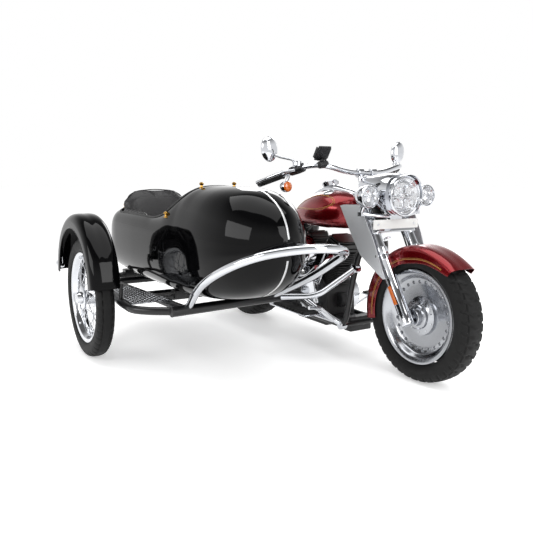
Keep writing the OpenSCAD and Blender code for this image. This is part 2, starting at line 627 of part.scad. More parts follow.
cross_r = 25;
chassis_r = 20;
outer_x = 234;
inner_y = body_y + 300;
front_cross_x = 1055;
rear_cross_x = 150;
module sidecar_chassis() color("black") place() {
    tube([[front_cross_x + 7, body_y - 335, chassis_z], [1000, -290, chassis_z], [1000, -150, rail_z + 30]], cross_r, 50);
    tube([[front_cross_x, body_y - 255, chassis_z], [outer_x, body_y - 325, chassis_z], [rear_cross_x, body_y - 325, chassis_z]],
        chassis_r, 60);
    tube([[front_cross_x, body_y - 306, chassis_z], [990, side_y + 130, chassis_z], [920, side_y + 66, chassis_z],
        [727, side_y + 70, chassis_z], [458, side_y + 108, chassis_z], [rear_cross_x, side_y + 150, chassis_z]], chassis_r, 60);
    tube([[1015, inner_y, chassis_z], [-70, inner_y, chassis_z]], chassis_r);
    tube([[rear_cross_x, inner_y, chassis_z], [rear_cross_x, side_y + 150, chassis_z]], chassis_r);
    tube([[-60, inner_y, chassis_z], [-60, body_y - 230, chassis_z], [rear_cross_x, body_y - 320, chassis_z]], chassis_r, 70);
    tube([[600, inner_y, chassis_z], [600, side_y + 85, chassis_z]], 16);
    // pads that the body rests on
    for (x = [-30, 760]) for (y = [-170, 170]) translate([x - 30, body_y + y - 30, chassis_z]) cube([60, 60, floor_z - chassis_z + 8]);
    for (x = [-30, 760]) translate([x, body_y, chassis_z + 4]) cube([40, 600 - (x < 0 ? 60 : 0), 24], center = true);
}
// The four mounts between the two frames.
module sidecar_struts() color("silver") place() {
    tube([[480, inner_y, chassis_z], [480, inner_y + 70, 215], [480, -rail_y, rail_z + 6]], 16, 60);
    tube([[1015, inner_y, chassis_z], [1180, -300, chassis_z + 20], [1247, -102, 505]], 16, 60);
    tube([[200, inner_y, chassis_z], [215, -330, 500], [240, -136, 602]], 15, 90);
    tube([[1000, -290, chassis_z], [1120, -220, 260], [1180, -rail_y, rail_z]], 15, 50);
    for (p = [[480, -rail_y, rail_z], [1180, -rail_y, rail_z], [1247, -102, 505], [240, -136, 602]])
        translate(p) sphere(r = 24, $fn = 16);
}
arm_y = side_y + 108;
module sidecar_suspension_arm() color("black") place() difference() {
    union() {
        tube([[rear_cross_x, arm_y + 30, chassis_z], [rear_cross_x + 60, arm_y, chassis_z], [wheel_lead, arm_y, side_r]], 18, 40);
        on_axle(wheel_lead, arm_y, side_r) translate([0, 0, -20]) cylinder(h = 80, r = 26);
        // spring unit leaning on the fender's bracket
        tube([[wheel_lead - 90, arm_y + 4, chassis_z], [wheel_lead - 30, arm_y + 8, 560]], 22, sides = 16);
        tube([[wheel_lead - 30, arm_y + 8, 556], [wheel_lead - 16, arm_y + 8, 612]], 10);
    }
    on_axle(wheel_lead, side_y, side_r) cylinder(h = 400, r = axle_r + seat_gap, center = true, $fn = 32);
}
module sidecar_axle() color("silver") place() on_axle(wheel_lead, side_y, side_r)
    translate([0, 0, -136]) cylinder(h = 136 + hub_half, r = axle_r);
side_fender_x = 375;
side_fender_z = 400;
side_fender_r = 371;
module sidecar_fender() color("black") place() {
    on_axle(side_fender_x, side_y, side_fender_z) fender(side_fender_r, fender_half, 70, 4, 44, 3, 176);
    // brackets
    rod([727, side_y + 70, chassis_z], [738, side_y + fender_half - 3, 440], 9);
    rod([rear_cross_x, side_y + 150, chassis_z], [30, side_y + fender_half - 3, 470], 9);
    rod([wheel_lead - 16, arm_y + 10, 606], [wheel_lead - 10, side_y + fender_half - 3, 716], 10);
}
module sidecar_lamps() color("red") place() {
    rod([24, side_y - 48, 455], [-40, side_y - 48, 452], 24);
    rod([-40, side_y - 48, 452], [-48, side_y - 48, 452], 18);
    for (y = [30]) rod([22, side_y + y, 520], [-22, side_y + y, 516], 26);
    rod([30, side_y - 48, 462], [30, side_y - 48, 500], 8);
}
module step_plate() color("silver") place() translate([0, 0, chassis_z + chassis_r - 1]) linear_extrude(height = 5)
    polygon([[440, body_y - 318], [440, side_y + 112], [727, side_y + 72], [900, side_y + 70], [900, body_y - 262]]);

// ---------------------------------------------------------------- sidecar body

body_half = body_w / 2;
floor_z = chassis_z + 33;
// x, share of the half width, bottom above the floor, widest height, top, lower and upper squareness;
// nose rows give their x as a distance back from the tip.
tub_rows = [
    [-236, 0.56, 150, 600, rim_z - 116, 3, 3], [-218, 0.74, 74, 580, rim_z - 80, 3.4, 3.4],
    [-168, 0.87, 22, 575, rim_z - 34, 4, 4], [-80, 0.95, 8, 590, rim_z - 6, 4, 4.6], [20, 0.98, 4, 600, rim_z, 4, 5],
    [300, 1, 0, 600, rim_z, 4, 5], [560, 1, 0, 600, rim_z, 4, 4.8], [700, 1, 0, 600, rim_z + 38, 4, 4],
    [800, 0.995, 0, 600, rim_z + 108, 4, 3.2], [886, 0.99, 2, 600, cowl_z, 3.8, 2.7]
];
nose_rows = [
    [545, 0.985, 6, 605, cowl_z + 3, 3.6, 2.7], [425, 0.97, 14, 612, cowl_z + 4, 3.2, 2.7],
    [315, 0.925, 32, 624, cowl_z, 2.9, 2.6], [215, 0.835, 58, 640, cowl_z - 14, 2.6, 2.5],
    [135, 0.7, 94, 658, cowl_z - 44, 2.4, 2.3], [65, 0.51, 144, 676, cowl_z - 90, 2.3, 2.2],
    [20, 0.29, 208, 690, cowl_z - 150, 2.2, 2.2], [0, 0.1, 272, 695, cowl_z - 204, 2.1, 2.1]
];
function tub_ring(x, r, g) = ring(x, body_y, r[1] * body_half - g, floor_z + r[2] + g, r[3], r[4] - g, r[5], r[6], 32);
function tub(g) = [
    for (i = [0:len(tub_rows) - 1]) tub_ring(tub_rows[i][0] + (i == 0 ? g : 0), tub_rows[i], g),
    for (i = [0:len(nose_rows) - 1]) if (g == 0 || i < len(nose_rows) - 2)
        tub_ring(nose_x - nose_rows[i][0], nose_rows[i], g)
];
// Rounded plan shape, extruded upwards.
module plan(x0, x1, half, r, z0, h) translate([0, body_y, z0]) linear_extrude(height = h) {
    translate([x0 + r, -half]) square([x1 - x0 - 2 * r, half * 2]);
    translate([x0, -half + r]) square([x1 - x0, half * 2 - 2 * r]);
    for (x = [x0 + r, x1 - r]) for (s = [-1, 1]) translate([x, s * (half - r)]) circle(r = r);
}
cockpit_back = -22;
cockpit_front = 884;
cockpit_half = body_half - 34;
boot_back = -176;
boot_front = -66;
boot_half = 150;
lid_gap = 5;
hinge_x = boot_front + 12;
hinge_z = rim_z + 16;
hinge_pin_r = 3.5;
module sidecar_body() color("black") place() {
    difference() {
        skin(tub(0));
        skin(tub(wall));
        plan(cockpit_back, cockpit_front - 130, cockpit_half, 60, rim_z - 60, 300);
        plan(cockpit_back + 300, cockpit_front, cockpit_half, 130, rim_z - 60, 300);
        plan(boot_back, boot_front, boot_half, 20, rim_z - 120, 300);
    }
    // bulkhead between cockpit and boot
    intersection() {
        skin(tub(wall / 2));
        translate([cockpit_back - 12, body_y - 400, 300]) cube([6, 800, 480]);
    }
    // hinge pins of the boot lid
    for (s = [-1, 1]) translate([0, body_y + s * 90, 0]) {
        rod([hinge_x, -28, hinge_z], [hinge_x, 28, hinge_z], hinge_pin_r);
        for (e = [-28, 22]) translate([hinge_x - 5, e, hinge_z - 24]) cube([10, 6, 30]);
    }
}
module boot_lid() color("black") place() difference() {
    union() {
        intersection() {
            difference() {
                skin(tub(0));
                skin(tub(wall));
            }
            plan(boot_back + lid_gap, boot_front - lid_gap, boot_half - lid_gap, 16, rim_z - 120, 300);
        }
        for (s = [-1, 1]) translate([0, body_y + s * 90, 0]) {
            on_axle(hinge_x, 18, hinge_z) cylinder(h = 36, r = 7);
            hull() {
                on_axle(hinge_x, 18, hinge_z + 4) cylinder(h = 36, r = 3, $fn = 16);
                on_axle(boot_front - 26, 18, rim_z - 9) cylinder(h = 36, r = 6, $fn = 16);
            }
        }
    }
    for (s = [-1, 1]) on_axle(hinge_x, body_y + s * 90 + 30, hinge_z) cylinder(h = 60, r = hinge_pin_r + run_gap);
}
cushion_half = body_half - 48;
cushion_rows = [ // x, inset of the half width, top
    [100, 14, 486], [112, 2, 500], [200, 0, 506], [420, 0, 514], [530, 2, 514], [556, 10, 500], [562, 24, 480]
];
module sidecar_cushion() color("black") place()
    skin([for (r = cushion_rows) ring(r[0], body_y, cushion_half - r[1], floor_z + 3, 440, r[2], 6, 4, 28)]);
back_half = cockpit_half - 4;
module sidecar_backrest() color("black") place() {
    hull() {
        for (s = [-1, 1]) {
            translate([60, body_y + s * (back_half - 36), 530]) sphere(r = 36, $fn = 20);
            translate([14, body_y + s * (back_half - 34), 800]) sphere(r = 34, $fn = 20);
            translate([16, body_y + s * (back_half - 70), 862]) sphere(r = 32, $fn = 20);
        }
    }
    for (s = [-1, 1]) hull() {
        translate([40, body_y + s * (back_half - 34), 756]) sphere(r = 34, $fn = 20);
        translate([330, body_y + s * (back_half - 30), 738]) sphere(r = 28, $fn = 20);
    }
    for (s = [-1, 1]) hull() {
        translate([60, body_y + s * (back_half - 20), 700]) sphere(r = 18, $fn = 16);
        translate([320, body_y + s * (back_half - 20), 700]) sphere(r = 18, $fn = 16);
        translate([60, body_y + s * (cushion_half - 16), 500]) sphere(r = 16, $fn = 16);
        translate([400, body_y + s * (cushion_half - 16), 500]) sphere(r = 16, $fn = 16);
    }
}
hoop_r = 19;
hoop_y = 243;
foot_x = 1050;
module sidecar_bumper() color("silver") place() {
    tube([[foot_x, body_y - hoop_y, chassis_z + 8], [1185, body_y - 252, 473], [1314, body_y - 248, 544],
        [nose_x - 133, body_y - 222, 597], [nose_x - 67, body_y - 192, 629], [nose_x + 8, body_y - 139, 662],
        [nose_x + 83, body_y - 57, 686], [nose_x + 147, body_y + 50, 698], [nose_x + 137, body_y + 190, 682],
        [nose_x + 57, body_y + 262, 648], [1429, body_y + 264, 546], [1283, body_y + 262, 472],
        [1000, body_y + 255, chassis_z + 8]], hoop_r, 90, n = 5);
    rod([nose_x - 26, body_y + 24, 700], [nose_x + 138, body_y + 48, 699], 9);
    rod([foot_x, body_y - hoop_y, chassis_z - 4], [foot_x, body_y - hoop_y, chassis_z + 22], 24);
    rod([1003, body_y + 255, chassis_z - 4], [1003, body_y + 255, chassis_z + 22], 24);
}

main_frame();
steering_head();
swingarm();
rear_axle();
crankcase();
cylinders();
air_cleaner();
exhaust_pipes();
oil_tank();
footboards();
fuel_tank();
tank_console();
rider_seat();
passenger_seat();
rear_fender();
tail_lamp();
rear_number_plate();
drive_belt();
stand_bracket();
side_stand();
rear_rim();
rear_tyre();
front_rim();
front_tyre();
side_rim();
side_hub();
side_spokes();
side_tyre();
triple_clamps();
fork_legs();
front_axle();
front_fender();
wind_deflectors();
headlamp_nacelle();
headlamp();
passing_lamps();
front_number_plate();
handlebar();
hand_controls();
mirrors();
front_turn_signals();
phone_holder();
sidecar_chassis();
sidecar_struts();
sidecar_suspension_arm();
sidecar_axle();
sidecar_fender();
sidecar_lamps();
step_plate();
sidecar_body();
boot_lid();
sidecar_cushion();
sidecar_backrest();
sidecar_bumper();
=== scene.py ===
# A cruiser motorcycle with a single-seat sidecar, built up piece by piece in the order it goes together.
import math
import bmesh
import bpy
from mathutils import Matrix, Vector


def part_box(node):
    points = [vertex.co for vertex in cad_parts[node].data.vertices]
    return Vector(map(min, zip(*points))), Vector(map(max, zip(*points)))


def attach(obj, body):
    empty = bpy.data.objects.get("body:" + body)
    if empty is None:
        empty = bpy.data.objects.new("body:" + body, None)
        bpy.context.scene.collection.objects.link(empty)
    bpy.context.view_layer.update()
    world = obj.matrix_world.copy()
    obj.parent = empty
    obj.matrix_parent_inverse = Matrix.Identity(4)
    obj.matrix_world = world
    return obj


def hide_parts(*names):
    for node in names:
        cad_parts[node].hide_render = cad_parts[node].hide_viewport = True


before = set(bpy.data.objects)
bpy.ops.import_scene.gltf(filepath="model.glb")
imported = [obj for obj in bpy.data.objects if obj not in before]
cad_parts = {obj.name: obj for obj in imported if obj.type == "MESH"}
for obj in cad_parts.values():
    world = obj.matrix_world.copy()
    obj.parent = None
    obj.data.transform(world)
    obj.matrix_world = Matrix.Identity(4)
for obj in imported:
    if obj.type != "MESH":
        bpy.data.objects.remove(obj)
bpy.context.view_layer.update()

# ---------------------------------------------------------------- camera, light and floor
# A lens at standing height looks across the sidecar's nose at the headlamp, under soft studio lights.
# Places are given in millimetres from the ground under the rear axle: forward, left and up.

axle_low, axle_high = (Vector(c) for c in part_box("rear_axle"))
home = (axle_low + axle_high) / 2


def at(x, y, z):
    return Vector((home.x + x / 1000, home.y + y / 1000, z / 1000))


def linear(hex_colour):
    channels = [int(hex_colour[i:i + 2], 16) / 255 for i in (1, 3, 5)]
    return [c / 12.92 if c <= 0.04045 else ((c + 0.055) / 1.055) ** 2.4 for c in channels] + [1.0]


def add_node(tree, kind, values=None, links=None, **settings):
    node = tree.nodes.new(kind)
    for key, value in settings.items():
        setattr(node, key, value)
    for key, value in (values or {}).items():
        node.inputs[key].default_value = value
    for key, source in (links or {}).items():
        tree.links.new(source, node.inputs[key])
    return node


azimuth, pitch, roll = (math.radians(a) for a in (58.43, 8.95, 0.38))
back = Vector((math.sin(azimuth) * math.cos(pitch), -math.cos(azimuth) * math.cos(pitch), math.sin(pitch)))
level = Vector((math.cos(azimuth), math.sin(azimuth), 0))
upward = back.cross(level)
right = level * math.cos(roll) + upward * math.sin(roll)
camera_data = bpy.data.cameras.new("studio_camera")
camera_data.lens = 41.235
camera = bpy.data.objects.new("studio_camera", camera_data)
turn = Matrix((right, back.cross(right), back)).transposed()
camera.matrix_world = Matrix.Translation(at(3699.9, -2159.9, 1011.5)) @ turn.to_4x4()
bpy.context.scene.collection.objects.link(camera)
bpy.context.scene.camera = camera
bpy.context.scene.view_settings.view_transform = "Standard"


def soft_light(name, place, target, width, height, power):
    data = bpy.data.lights.new(name, "AREA")
    data.shape, data.size, data.size_y, data.energy = "RECTANGLE", width, height, power
    light = bpy.data.objects.new(name, data)
    light.location = place
    light.rotation_euler = (target - place).to_track_quat("-Z", "Y").to_euler()
    bpy.context.scene.collection.objects.link(light)


middle = at(760, -430, 500)
soft_light("overhead_bank", at(900, -600, 3600), middle, 4.5, 3.0, 95)
soft_light("front_bank", at(4600, 300, 2200), middle, 1.6, 2.6, 70)
soft_light("side_bank", at(1200, -4600, 2000), middle, 2.6, 1.6, 60)
soft_light("rear_bank", at(-2600, 2600, 2400), middle, 2.6, 1.8, 60)

# Share of the white surround that lights the object; mirrors and the lens see it whole.
fill_share = 0.42
world = bpy.data.worlds.new("white_studio")
bpy.context.scene.world = world
world.use_nodes = True
sky = world.node_tree
sky.nodes.clear()
path = add_node(sky, "ShaderNodeLightPath")
seen = add_node(sky, "ShaderNodeMath", links={0: path.outputs["Is Camera Ray"],
                                              1: path.outputs["Is Glossy Ray"]},
                operation="MAXIMUM")
seen = add_node(sky, "ShaderNodeMath", links={0: seen.outputs[0], 1: path.outputs["Is Transmission Ray"]},
                operation="MAXIMUM")
# The surround is white to a little above the horizon and darkens towards the ceiling, as a studio does.
up = add_node(sky, "ShaderNodeSeparateXYZ", links={0: add_node(sky, "ShaderNodeTexCoord").outputs["Generated"]})
ceiling = add_node(sky, "ShaderNodeMapRange", {"From Min": 0.3, "From Max": 0.75, "To Min": 1.0,
                                               "To Max": 0.14},
                   {"Value": up.outputs["Z"]})
strength = add_node(sky, "ShaderNodeMapRange", {"To Min": fill_share},
                    {"Value": seen.outputs[0], "To Max": ceiling.outputs[0]})
surround = add_node(sky, "ShaderNodeBackground", {"Color": (1, 1, 1, 1)}, {"Strength": strength.outputs[0]})
add_node(sky, "ShaderNodeOutputWorld", links={"Surface": surround.outputs[0]})

# The paper lies half a millimetre under the tyres; its white is lifted most where it is far away.
reach, drop, near_lift, far_lift = 30, -0.0005, 0.42, 0.66
floor_mesh = bpy.data.meshes.new("studio_floor")
floor_mesh.from_pydata([(-reach, -reach, drop), (reach, -reach, drop), (reach, reach, drop),
                        (-reach, reach, drop)], [],
                       [(0, 1, 2, 3)])
floor = bpy.data.objects.new("studio_floor", floor_mesh)
bpy.context.scene.collection.objects.link(floor)
paper = bpy.data.materials.new("matt_white_paper")
paper.use_nodes = True
tree = paper.node_tree
tree.nodes.clear()
path = add_node(tree, "ShaderNodeLightPath")
coat = add_node(tree, "ShaderNodeBsdfDiffuse", {"Color": linear("#fafafa")})
seen = add_node(tree, "ShaderNodeMath", links={0: path.outputs["Is Camera Ray"],
                                               1: path.outputs["Is Glossy Ray"]},
                operation="MAXIMUM")
seen = add_node(tree, "ShaderNodeMath", links={0: seen.outputs[0], 1: path.outputs["Is Transmission Ray"]},
                operation="MAXIMUM")
away = add_node(tree, "ShaderNodeVectorMath", links={0: add_node(tree, "ShaderNodeTexCoord").outputs["Object"]},
                operation="LENGTH")
away = add_node(tree, "ShaderNodeMapRange", {"From Min": 2.5, "From Max": 9.0, "To Min": near_lift,
                                             "To Max": far_lift},
                {"Value": away.outputs["Value"]})
lift = add_node(tree, "ShaderNodeMath", links={0: seen.outputs[0], 1: away.outputs[0]}, operation="MULTIPLY")
glow = add_node(tree, "ShaderNodeEmission", {"Color": (1, 1, 1, 1)}, {"Strength": lift.outputs[0]})
both = add_node(tree, "ShaderNodeAddShader", links={0: coat.outputs[0], 1: glow.outputs[0]})
add_node(tree, "ShaderNodeOutputMaterial", links={"Surface": both.outputs[0]})
floor_mesh.materials.append(paper)

# ---------------------------------------------------------------- motorcycle frame
# A double cradle of steel tube, bent cold and welded, sprayed satin black.
# The steering head and the swingarm are welded up from the same stock.


def finish_material(name, colour, metallic=0.0, rough=0.5, coat=0.0, coat_rough=0.05, grain=0.0, grain_size=1.0,
                    detail=3.0, rough_spread=0.06, colour_two=None, patch_size=60.0, kind="noise",
                    specular=0.5):
    """A surface whose gloss, shade and fine relief vary; sizes are in millimetres."""
    material = bpy.data.materials.new(name)
    material.use_nodes = True
    tree = material.node_tree
    tree.nodes.clear()
    place = add_node(tree, "ShaderNodeTexCoord").outputs["Object"]
    patches = add_node(tree, "ShaderNodeTexNoise", {"Scale": 1000 / patch_size, "Detail": 4.0},
                       {"Vector": place})
    gloss = add_node(tree, "ShaderNodeMapRange", {"To Min": max(rough - rough_spread, 0.02),
                     "To Max": rough + rough_spread}, {"Value": patches.outputs[0]})
    shade = add_node(tree, "ShaderNodeMix", links={0: patches.outputs[0]}, data_type="RGBA")
    shade.inputs[6].default_value = linear(colour)
    shade.inputs[7].default_value = linear(colour_two or colour)
    shader = add_node(tree, "ShaderNodeBsdfPrincipled", {"Metallic": metallic, "Coat Weight": coat,
                      "Coat Roughness": coat_rough, "Specular IOR Level": specular},
                      {"Base Color": shade.outputs[2], "Roughness": gloss.outputs[0]})
    if grain:
        if kind == "cells":
            relief = add_node(tree, "ShaderNodeTexVoronoi", {"Scale": 1000 / grain_size, "Randomness": 1.0},
                              {"Vector": place}, feature="F1")
        else:
            relief = add_node(tree, "ShaderNodeTexNoise", {"Scale": 1000 / grain_size, "Detail": detail},
                              {"Vector": place})
        bump = add_node(tree, "ShaderNodeBump", {"Strength": 1.0, "Distance": grain / 1000},
                        {"Height": relief.outputs[0]})
        tree.links.new(bump.outputs[0], shader.inputs["Normal"])
    add_node(tree, "ShaderNodeOutputMaterial", links={"Surface": shader.outputs[0]})
    return material


# Sprayed enamel over steel: near black, a soft sheen and a slight orange peel.
frame_enamel = finish_material("satin_black_enamel", "#0a0a0b", rough=0.32, coat=0.2, coat_rough=0.25,
                               grain=0.05, grain_size=6, colour_two="#101012", specular=0.35)


def merge_parts(name, parts, materials, body, nodes=(), sharp=32.0, bevel=0.0, levels=0, segments=2):
    """One object from (points, faces, material number) parts, with edges above the angle kept crisp."""
    bm = bmesh.new()
    for points, faces, number in parts:
        made = [bm.verts.new(p) for p in points]
        for face in faces:
            try:
                bm.faces.new([made[i] for i in face]).material_index = number
            except ValueError:
                pass
    bmesh.ops.remove_doubles(bm, verts=bm.verts, dist=0.00002)
    bmesh.ops.recalc_face_normals(bm, faces=bm.faces)
    for face in bm.faces:
        face.smooth = True
    for edge in bm.edges:
        edge.smooth = len(edge.link_faces) != 2 or edge.calc_face_angle(0) < math.radians(sharp)
    mesh = bpy.data.meshes.new(name)
    bm.to_mesh(mesh)
    bm.free()
    made = bpy.data.objects.new(name, mesh)
    bpy.context.scene.collection.objects.link(made)
    for material in materials:
        mesh.materials.append(material)
    if bevel:
        edge = made.modifiers.new("bevel", "BEVEL")
        edge.width, edge.segments, edge.limit_method = bevel / 1000, segments, "ANGLE"
        edge.angle_limit = math.radians(sharp)
        edge.harden_normals = False
    if levels:
        smooth = made.modifiers.new("subdivision", "SUBSURF")
        smooth.levels = smooth.render_levels = levels
    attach(made, body)
    if nodes:
        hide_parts(*nodes)
    return made


def skin(rings, caps=True, loop=False):
    """Points and faces of a skin through rings of equal length."""
    n = len(rings[0])
    points = [p for ring in rings for p in ring]
    faces = [(j * n + i, j * n + (i + 1) % n, (j + 1) % len(rings) * n + (i + 1) % n,
              (j + 1) % len(rings) * n + i)
             for j in range(len(rings) - (0 if loop else 1)) for i in range(n)]
    if caps and not loop:
        faces += [tuple(range(n - 1, -1, -1)), tuple(range((len(rings) - 1) * n, len(rings) * n))]
    return points, faces


def rounded_path(corners, radius, steps=6):
    """A polyline in millimetres whose corners are turned into arcs."""
    points = [Vector(c) for c in corners]
    path = [points[0]]
    for a, b, c in zip(points, points[1:], points[2:]):
        reach = min(radius, (a - b).length / 2.05, (c - b).length / 2.05)
        p, q = b + (a - b).normalized() * reach, b + (c - b).normalized() * reach
        for i in range(steps + 1):
            t = i / steps
            path.append(p.lerp(b, t).lerp(b.lerp(q, t), t))
    return path + [points[-1]]


def pipe(corners, radius, bend=60, number=0, sides=20, steps=6, ends=None):
    """A bent round tube; radius may be a function of the share along it."""
    path = rounded_path(corners, bend, steps)
    side = None
    rings = []
    for i, p in enumerate(path):
        ahead = (path[min(i + 1, len(path) - 1)] - path[max(i - 1, 0)]).normalized()
        if side is None:
            side = ahead.cross(Vector((0, 0, 1)) if abs(ahead.z) < 0.9 else Vector((1, 0, 0))).normalized()
        side = (side - ahead * side.dot(ahead)).normalized()
        across = ahead.cross(side)
        r = radius(i / (len(path) - 1)) if callable(radius) else radius
        rings.append([at(*(p + side * r * math.cos(2 * math.pi * k / sides) + across * r *
                          math.sin(2 * math.pi * k / sides))) for k in range(sides)])
    points, faces = skin(rings)
    return points, faces, number


def turned(start, end, profile, number=0, sides=48, hollow=False):
    """A turned shape: profile gives (distance along, radius) pairs in millimetres from start towards end."""
    start, end = Vector(start), Vector(end)
    axis = (end - start).normalized()
    side = axis.cross(Vector((0, 0, 1)) if abs(axis.z) < 0.9 else Vector((1, 0, 0))).normalized()
    across = axis.cross(side)
    rings = [[at(*(start + axis * d + (side * math.cos(2 * math.pi * k / sides) + across *
              math.sin(2 * math.pi * k / sides)) * max(r, 0.01))) for k in range(sides)] for d, r in profile]
    points, faces = skin(rings, caps=not hollow, loop=hollow)
    return points, faces, number


def mirrored(part):
    """The same part on the motorcycle's other side."""
    points, faces, number = part
    return [Vector((p.x, 2 * home.y - p.y, p.z)) for p in points], [tuple(reversed(f)) for f in faces], number


def block(x0, x1, y0, y1, z0, z1, number=0):
    points = [at(x, y, z) for z in (z0, z1) for y in (y0, y1) for x in (x0, x1)]
    return points, [(0, 2, 3, 1), (4, 5, 7, 6), (0, 1, 5, 4), (2, 6, 7, 3), (0, 4, 6, 2), (1, 3, 7, 5)], number


def steer_x(z):
    return 1785 - z * math.tan(math.radians(32))


def fork_x(z):
    return steer_x(z) + 53.6


frame_parts = [pipe([(steer_x(790), 0, 790), (1120, 0, 775), (720, 0, 728), (480, 0, 600)], 24, 120)]
for cradle in (
    pipe([(steer_x(740), 8, 740), (1262, 90, 600), (1232, 112, 420), (1205, 130, 190), (480, 130, 190),
          (470, 130, 600),
          (495, 20, 600)], 16, 60),
    pipe([(470, 122, 590), (330, 134, 600), (150, 134, 612)], 13, 40),
    turned((470, 120, 335), (470, 144, 335), [(0, 30), (24, 30)]),
    turned((470, 116, 335), (470, 150, 335), [(0, 19), (34, 19)], sides=6),
):
    frame_parts += [cradle, mirrored(cradle)]
for x in (1190, 560):
    frame_parts.append(pipe([(x, -130, 190), (x, 130, 190)], 12))
merge_parts("frame_tubes", frame_parts, [frame_enamel], "chassis", ["main_frame"])
merge_parts("head_tube", [turned((steer_x(705), 0, 705), (steer_x(845), 0, 845),
            [(0, 20), (0, 36), (12, 36), (14, 32), (151, 32), (153, 36), (165, 36), (165, 20)], hollow=True)],
            [frame_enamel], "chassis", ["steering_head"])

arm_parts = []
for leg in (
    pipe([(470, 60, 335), (425, 60, 335), (390, 155, 335), (0, 155, 326)], 15, 40),
    pipe([(20, 155, 341), (150, 155, 470), (300, 149, 545)], 12, 40),
    turned((0, 141, 326), (0, 169, 326), [(0, 34), (28, 34)]),
    turned((0, 165, 326), (0, 178, 326), [(0, 24), (13, 24)], sides=6),
):
    arm_parts += [leg, mirrored(leg)]
arm_parts.append(turned((470, -124, 335), (470, 124, 335), [(0, 22), (248, 22)]))
merge_parts("rear_swingarm", arm_parts, [frame_enamel], "chassis", ["swingarm"], bevel=1.5)

# ---------------------------------------------------------------- engine
# An air-cooled V-twin: finned iron barrels under two rocker boxes, sprayed in black wrinkle paint.
# The rocker boxes are black; covers and push-rod tubes are chromed, and the bolts are machined aluminium.

# Wrinkle paint baked on castings: its ridges are about a millimetre apart and scatter the light.
wrinkle_black = finish_material("black_wrinkle_paint", "#161617", rough=0.5, grain=0.25, grain_size=1.6,
                                colour_two="#1d1d1f")
# Chrome plate over polished steel: a mirror, with the faintest haze from wiping.
chrome = finish_material("chrome_plate", "#cfd1d5", metallic=1.0, rough=0.07, rough_spread=0.03, patch_size=25)
# Machined aluminium, left bright where a cutter trued the casting's edges.
bright_alloy = finish_material("machined_aluminium", "#c3c5c8", metallic=1.0, rough=0.24, grain=0.01,
                               grain_size=0.6)


def plate(outline, y0, y1, number=0):
    """A flat shape in the side view, given by (x, z) corners, thick from y0 to y1."""
    count = len(outline)
    points = [at(x, y, z) for y in (y0, y1) for x, z in outline]
    faces = [tuple(range(count)), tuple(range(2 * count - 1, count - 1, -1))]
    faces += [(i, (i + 1) % count, count + (i + 1) % count, count + i) for i in range(count)]
    return points, faces, number


def round_hull(circles, steps=40):
    """Corners of the shape that a band stretched round some circles (x, z, radius) would take."""
    cloud = [(x + r * math.cos(2 * math.pi * i / steps), z + r * math.sin(2 * math.pi * i / steps))
             for x, z, r in circles for i in range(steps)]
    cloud = sorted(cloud)

    def half(points):
        chain = []
        for p in points:
            while len(chain) > 1 and ((chain[-1][0] - chain[-2][0]) * (p[1] - chain[-2][1]) -
                                      (chain[-1][1] - chain[-2][1]) * (p[0] - chain[-2][0])) <= 1e-9:
                chain.pop()
            chain.append(p)
        return chain[:-1]
    return half(cloud) + half(cloud[::-1])


crank_x, crank_z = 870, 268
case_parts = [
    plate(round_hull([(870, 288, 135), (725, 180, 40), (985, 170, 30)]), -98, 98),
    plate(round_hull([(545, 350, 28), (650, 360, 30), (545, 200, 18), (672, 200, 18)]), -94, 94),
    block(670, 760, -85, 85, 230, 350),
    block(960, 1160, -58, 58, 168, 206),
    block(1125, 1185, -75, 75, 142, 222),
    turned((1020, -32, 288), (1020, 32, 288), [(0, 42), (64, 42)]),
]
merge_parts("crankcase_castings", case_parts, [wrinkle_black], "chassis", bevel=8, segments=3)
cover_parts = [
    plate(round_hull([(870, 288, 104), (600, 310, 94)]), 98, 160),
    plate(round_hull([(870, 288, 92), (600, 310, 82)]), 158, 176),
    turned((870, 170, 288), (870, 184, 288), [(0, 50), (14, 44)]),
    turned((620, 170, 312), (620, 184, 312), [(0, 38), (14, 32)]),
    plate(round_hull([(880, 268, 78), (870, 363, 64)]), -142, -94),
    turned((880, -140, 268), (880, -152, 268), [(0, 46), (10, 42), (12, 36)]),
]
merge_parts("engine_covers", cover_parts, [chrome], "chassis", ["crankcase"], bevel=9, segments=4)
merge_parts("cover_inlays", [turned((880, -151, 268), (880, -154, 268), [(0, 32), (3, 30)]),
            turned((870, 183, 288), (870, 186, 288), [(0, 34), (3, 32)]),
            turned((620, 183, 312), (620, 186, 312), [(0, 24), (3, 22)])], [wrinkle_black], "chassis")


def repeat_tree(name, head_radius, head_height, material, sides=6):
    """Geometry nodes that stand a small screw head on each point of a mesh, along its normals."""
    group = bpy.data.node_groups.new(name, "GeometryNodeTree")
    face = group.interface
    face.new_socket("Points", in_out="INPUT", socket_type="NodeSocketGeometry")
    for label, value in (("Head radius", head_radius), ("Head height", head_height)):
        socket = face.new_socket(label, in_out="INPUT", socket_type="NodeSocketFloat")
        socket.default_value = value
    face.new_socket("Heads", in_out="OUTPUT", socket_type="NodeSocketGeometry")
    start = group.nodes.new("NodeGroupInput")
    head = add_node(group, "GeometryNodeMeshCylinder", {"Vertices": sides},
                    {"Radius": start.outputs["Head radius"],
                    "Depth": start.outputs["Head height"]})
    normal = add_node(group, "GeometryNodeInputNormal")
    facing = add_node(group, "FunctionNodeAlignRotationToVector", links={"Vector": normal.outputs[0]}, axis="Z")
    spread = add_node(group, "GeometryNodeInstanceOnPoints", links={"Points": start.outputs["Points"],
                      "Instance": head.outputs["Mesh"], "Rotation": facing.outputs[0]})
    real = add_node(group, "GeometryNodeRealizeInstances", links={0: spread.outputs[0]})
    coloured = add_node(group, "GeometryNodeSetMaterial", {"Material": material}, {"Geometry": real.outputs[0]})
    end = group.nodes.new("NodeGroupOutput")
    group.links.new(coloured.outputs[0], end.inputs[0])
    return group


